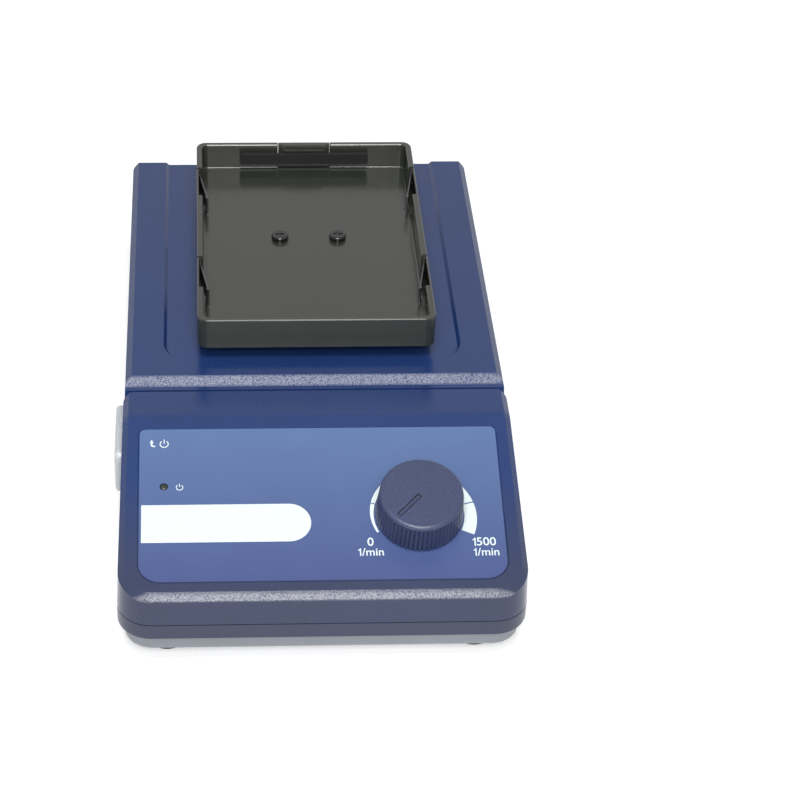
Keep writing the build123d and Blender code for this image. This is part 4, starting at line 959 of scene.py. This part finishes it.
@dataclass
class Camera:
    """The photograph's camera: where it stands, and how its picture is framed."""

    azimuth: float = -3.21
    elevation: float = 38.024
    roll: float = 1.394
    distance: float = 932.65 * MM
    focal_pixels: float = 2266.07
    centre_pixels: tuple[float, float] = (308.479, 452.846)
    picture: float = 800.0
    sensor: float = 36.0

    def build(self) -> None:
        """Set up the camera: back is the unit vector from the origin to it, and its roll is about its view."""
        a, e = math.radians(self.azimuth), math.radians(self.elevation)
        back = Vector((math.sin(a) * math.cos(e), -math.cos(a) * math.cos(e), math.sin(e)))
        data = bpy.data.cameras.new("camera")
        data.sensor_width = self.sensor
        data.lens = self.focal_pixels * self.sensor / self.picture
        data.shift_x = (self.picture / 2 - self.centre_pixels[0]) / self.picture
        data.shift_y = (self.centre_pixels[1] - self.picture / 2) / self.picture
        data.clip_start, data.clip_end = 0.05, 50.0
        camera = bpy.data.objects.new("camera", data)
        bpy.context.scene.collection.objects.link(camera)
        camera.rotation_mode = "QUATERNION"
        level = (-back).to_track_quat("-Z", "Y")
        camera.rotation_quaternion = Quaternion(back, math.radians(self.roll)) @ level
        camera.location = back * self.distance
        bpy.context.scene.camera = camera


@dataclass(frozen=True)
class SoftBox:
    """A soft lamp: where it hangs, its width and height, its watts and the point that it faces."""

    name: str
    place: Point
    size: tuple[float, float]
    power: float
    aim: Point = (0.0, -0.05, 0.04)

    def build(self) -> None:
        """Hang the lamp."""
        data = bpy.data.lights.new(self.name, "AREA")
        data.shape = "RECTANGLE"
        data.size, data.size_y = self.size
        data.energy = self.power
        lamp = bpy.data.objects.new(self.name, data)
        bpy.context.scene.collection.objects.link(lamp)
        lamp.location = self.place
        lamp.rotation_euler = (Vector(self.aim) - Vector(self.place)).to_track_quat("-Z", "Y").to_euler()


@dataclass
class Studio:
    """A pale floor and soft light."""

    floor_half: float = 4.0
    floor_level: float = -0.02 * MM
    world_level: float = 0.18
    boxes: tuple[SoftBox, ...] = (
        SoftBox("front_box", (-0.04, -0.92, 0.80), (0.46, 0.30), 8.0),
        SoftBox("high_box", (-0.04, -0.50, 1.14), (0.46, 0.38), 9.0),
    )

    def floor(self) -> None:
        """The floor: one large sheet a little under the feet."""
        half = self.floor_half
        side = np.linspace(-half, half, 9)
        x, y = np.meshgrid(side, side, indexing="xy")
        points = np.stack([x, y, np.full_like(x, self.floor_level)], axis=-1)
        thing = mesh_object("floor", points, grid_faces(9, 9, False, False))
        surface = Paper("floor_paper", (0.93, 0.93, 0.93), roughness=0.8, pitch=3 * MM, height=0.0,
                        fleck=0.0, drift=0.004, drift_size=0.5, specular=0.1)
        put_on(thing, surface)

    def world(self) -> None:
        """An even white sky, whiter to the camera than it shines on the object."""
        world = bpy.data.worlds.new("studio")
        bpy.context.scene.world = world
        world.use_nodes = True
        tree = world.node_tree
        tree.nodes.clear()
        seen = tree.nodes.new("ShaderNodeBackground")
        seen.inputs["Color"].default_value = (1.0, 1.0, 1.0, 1.0)
        seen.inputs["Strength"].default_value = 1.0
        shine = tree.nodes.new("ShaderNodeBackground")
        shine.inputs["Color"].default_value = (0.96, 0.98, 1.0, 1.0)
        shine.inputs["Strength"].default_value = self.world_level
        mix = tree.nodes.new("ShaderNodeMixShader")
        out = tree.nodes.new("ShaderNodeOutputWorld")
        tree.links.new(seen_rays(tree), mix.inputs[0])
        tree.links.new(shine.outputs[0], mix.inputs[1])
        tree.links.new(seen.outputs[0], mix.inputs[2])
        tree.links.new(mix.outputs[0], out.inputs[0])

    def build(self) -> None:
        """Make the floor, the sky and the lamps."""
        self.floor()
        self.world()
        for box in self.boxes:
            box.build()


@dataclass
class ClampLips:
    """The two thin lips of the tray's wall that close its gaps beside the clamp's lever."""

    centre: float = 1.125 * MM
    inner: float = 11.14 * MM
    outer: float = 11.52 * MM
    front: float = 114.1 * MM
    rear: float = 115.3 * MM
    bottom: float = 66.2 * MM
    top: float = 79.2 * MM

    def build(self) -> None:
        """Make both lips, which ride with the tray."""
        for name, side in (("clamp_lip_left", -1.0), ("clamp_lip_right", 1.0)):
            x = np.array([self.inner, self.outer, self.outer, self.inner]) * side + self.centre
            y = np.array([self.front, self.front, self.rear, self.rear])
            outline = np.stack([x, y, np.full(4, self.bottom)], axis=-1)
            thing = plate_from_outline(name, outline, np.array([0.0, 0.0, self.top - self.bottom]))
            tidy_normals(thing)
            put_on(thing, TRAY_BLACK)
            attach(thing, "table")
            LOG.info("piece %s", name)


def dress_nodes(nodes: dict[str, bpy.types.Object]) -> None:
    """Give every solid its finish.

    Args:
        nodes: The solids by name.
    """
    for finish, names in DRESS.items():
        for name in names:
            put_on(nodes[name], finish)
    left = set(nodes) - {n for names in DRESS.values() for n in names}
    LOG.info("solids without a finish: %s", sorted(left))


def main() -> None:
    """Build the scene."""
    logging.basicConfig(level=logging.INFO, format="%(name)s: %(message)s")
    bpy.ops.object.select_all(action="SELECT")
    bpy.ops.object.delete()
    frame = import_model()
    dress_nodes(frame["nodes"])
    Camera().build()
    Studio().build()
    LabelPrint().build()
    ClampLips().build()
    KnobMark().build()
    bpy.context.scene.view_settings.view_transform = "Standard"
    bpy.context.view_layer.update()


if __name__ == "__main__":
    main()
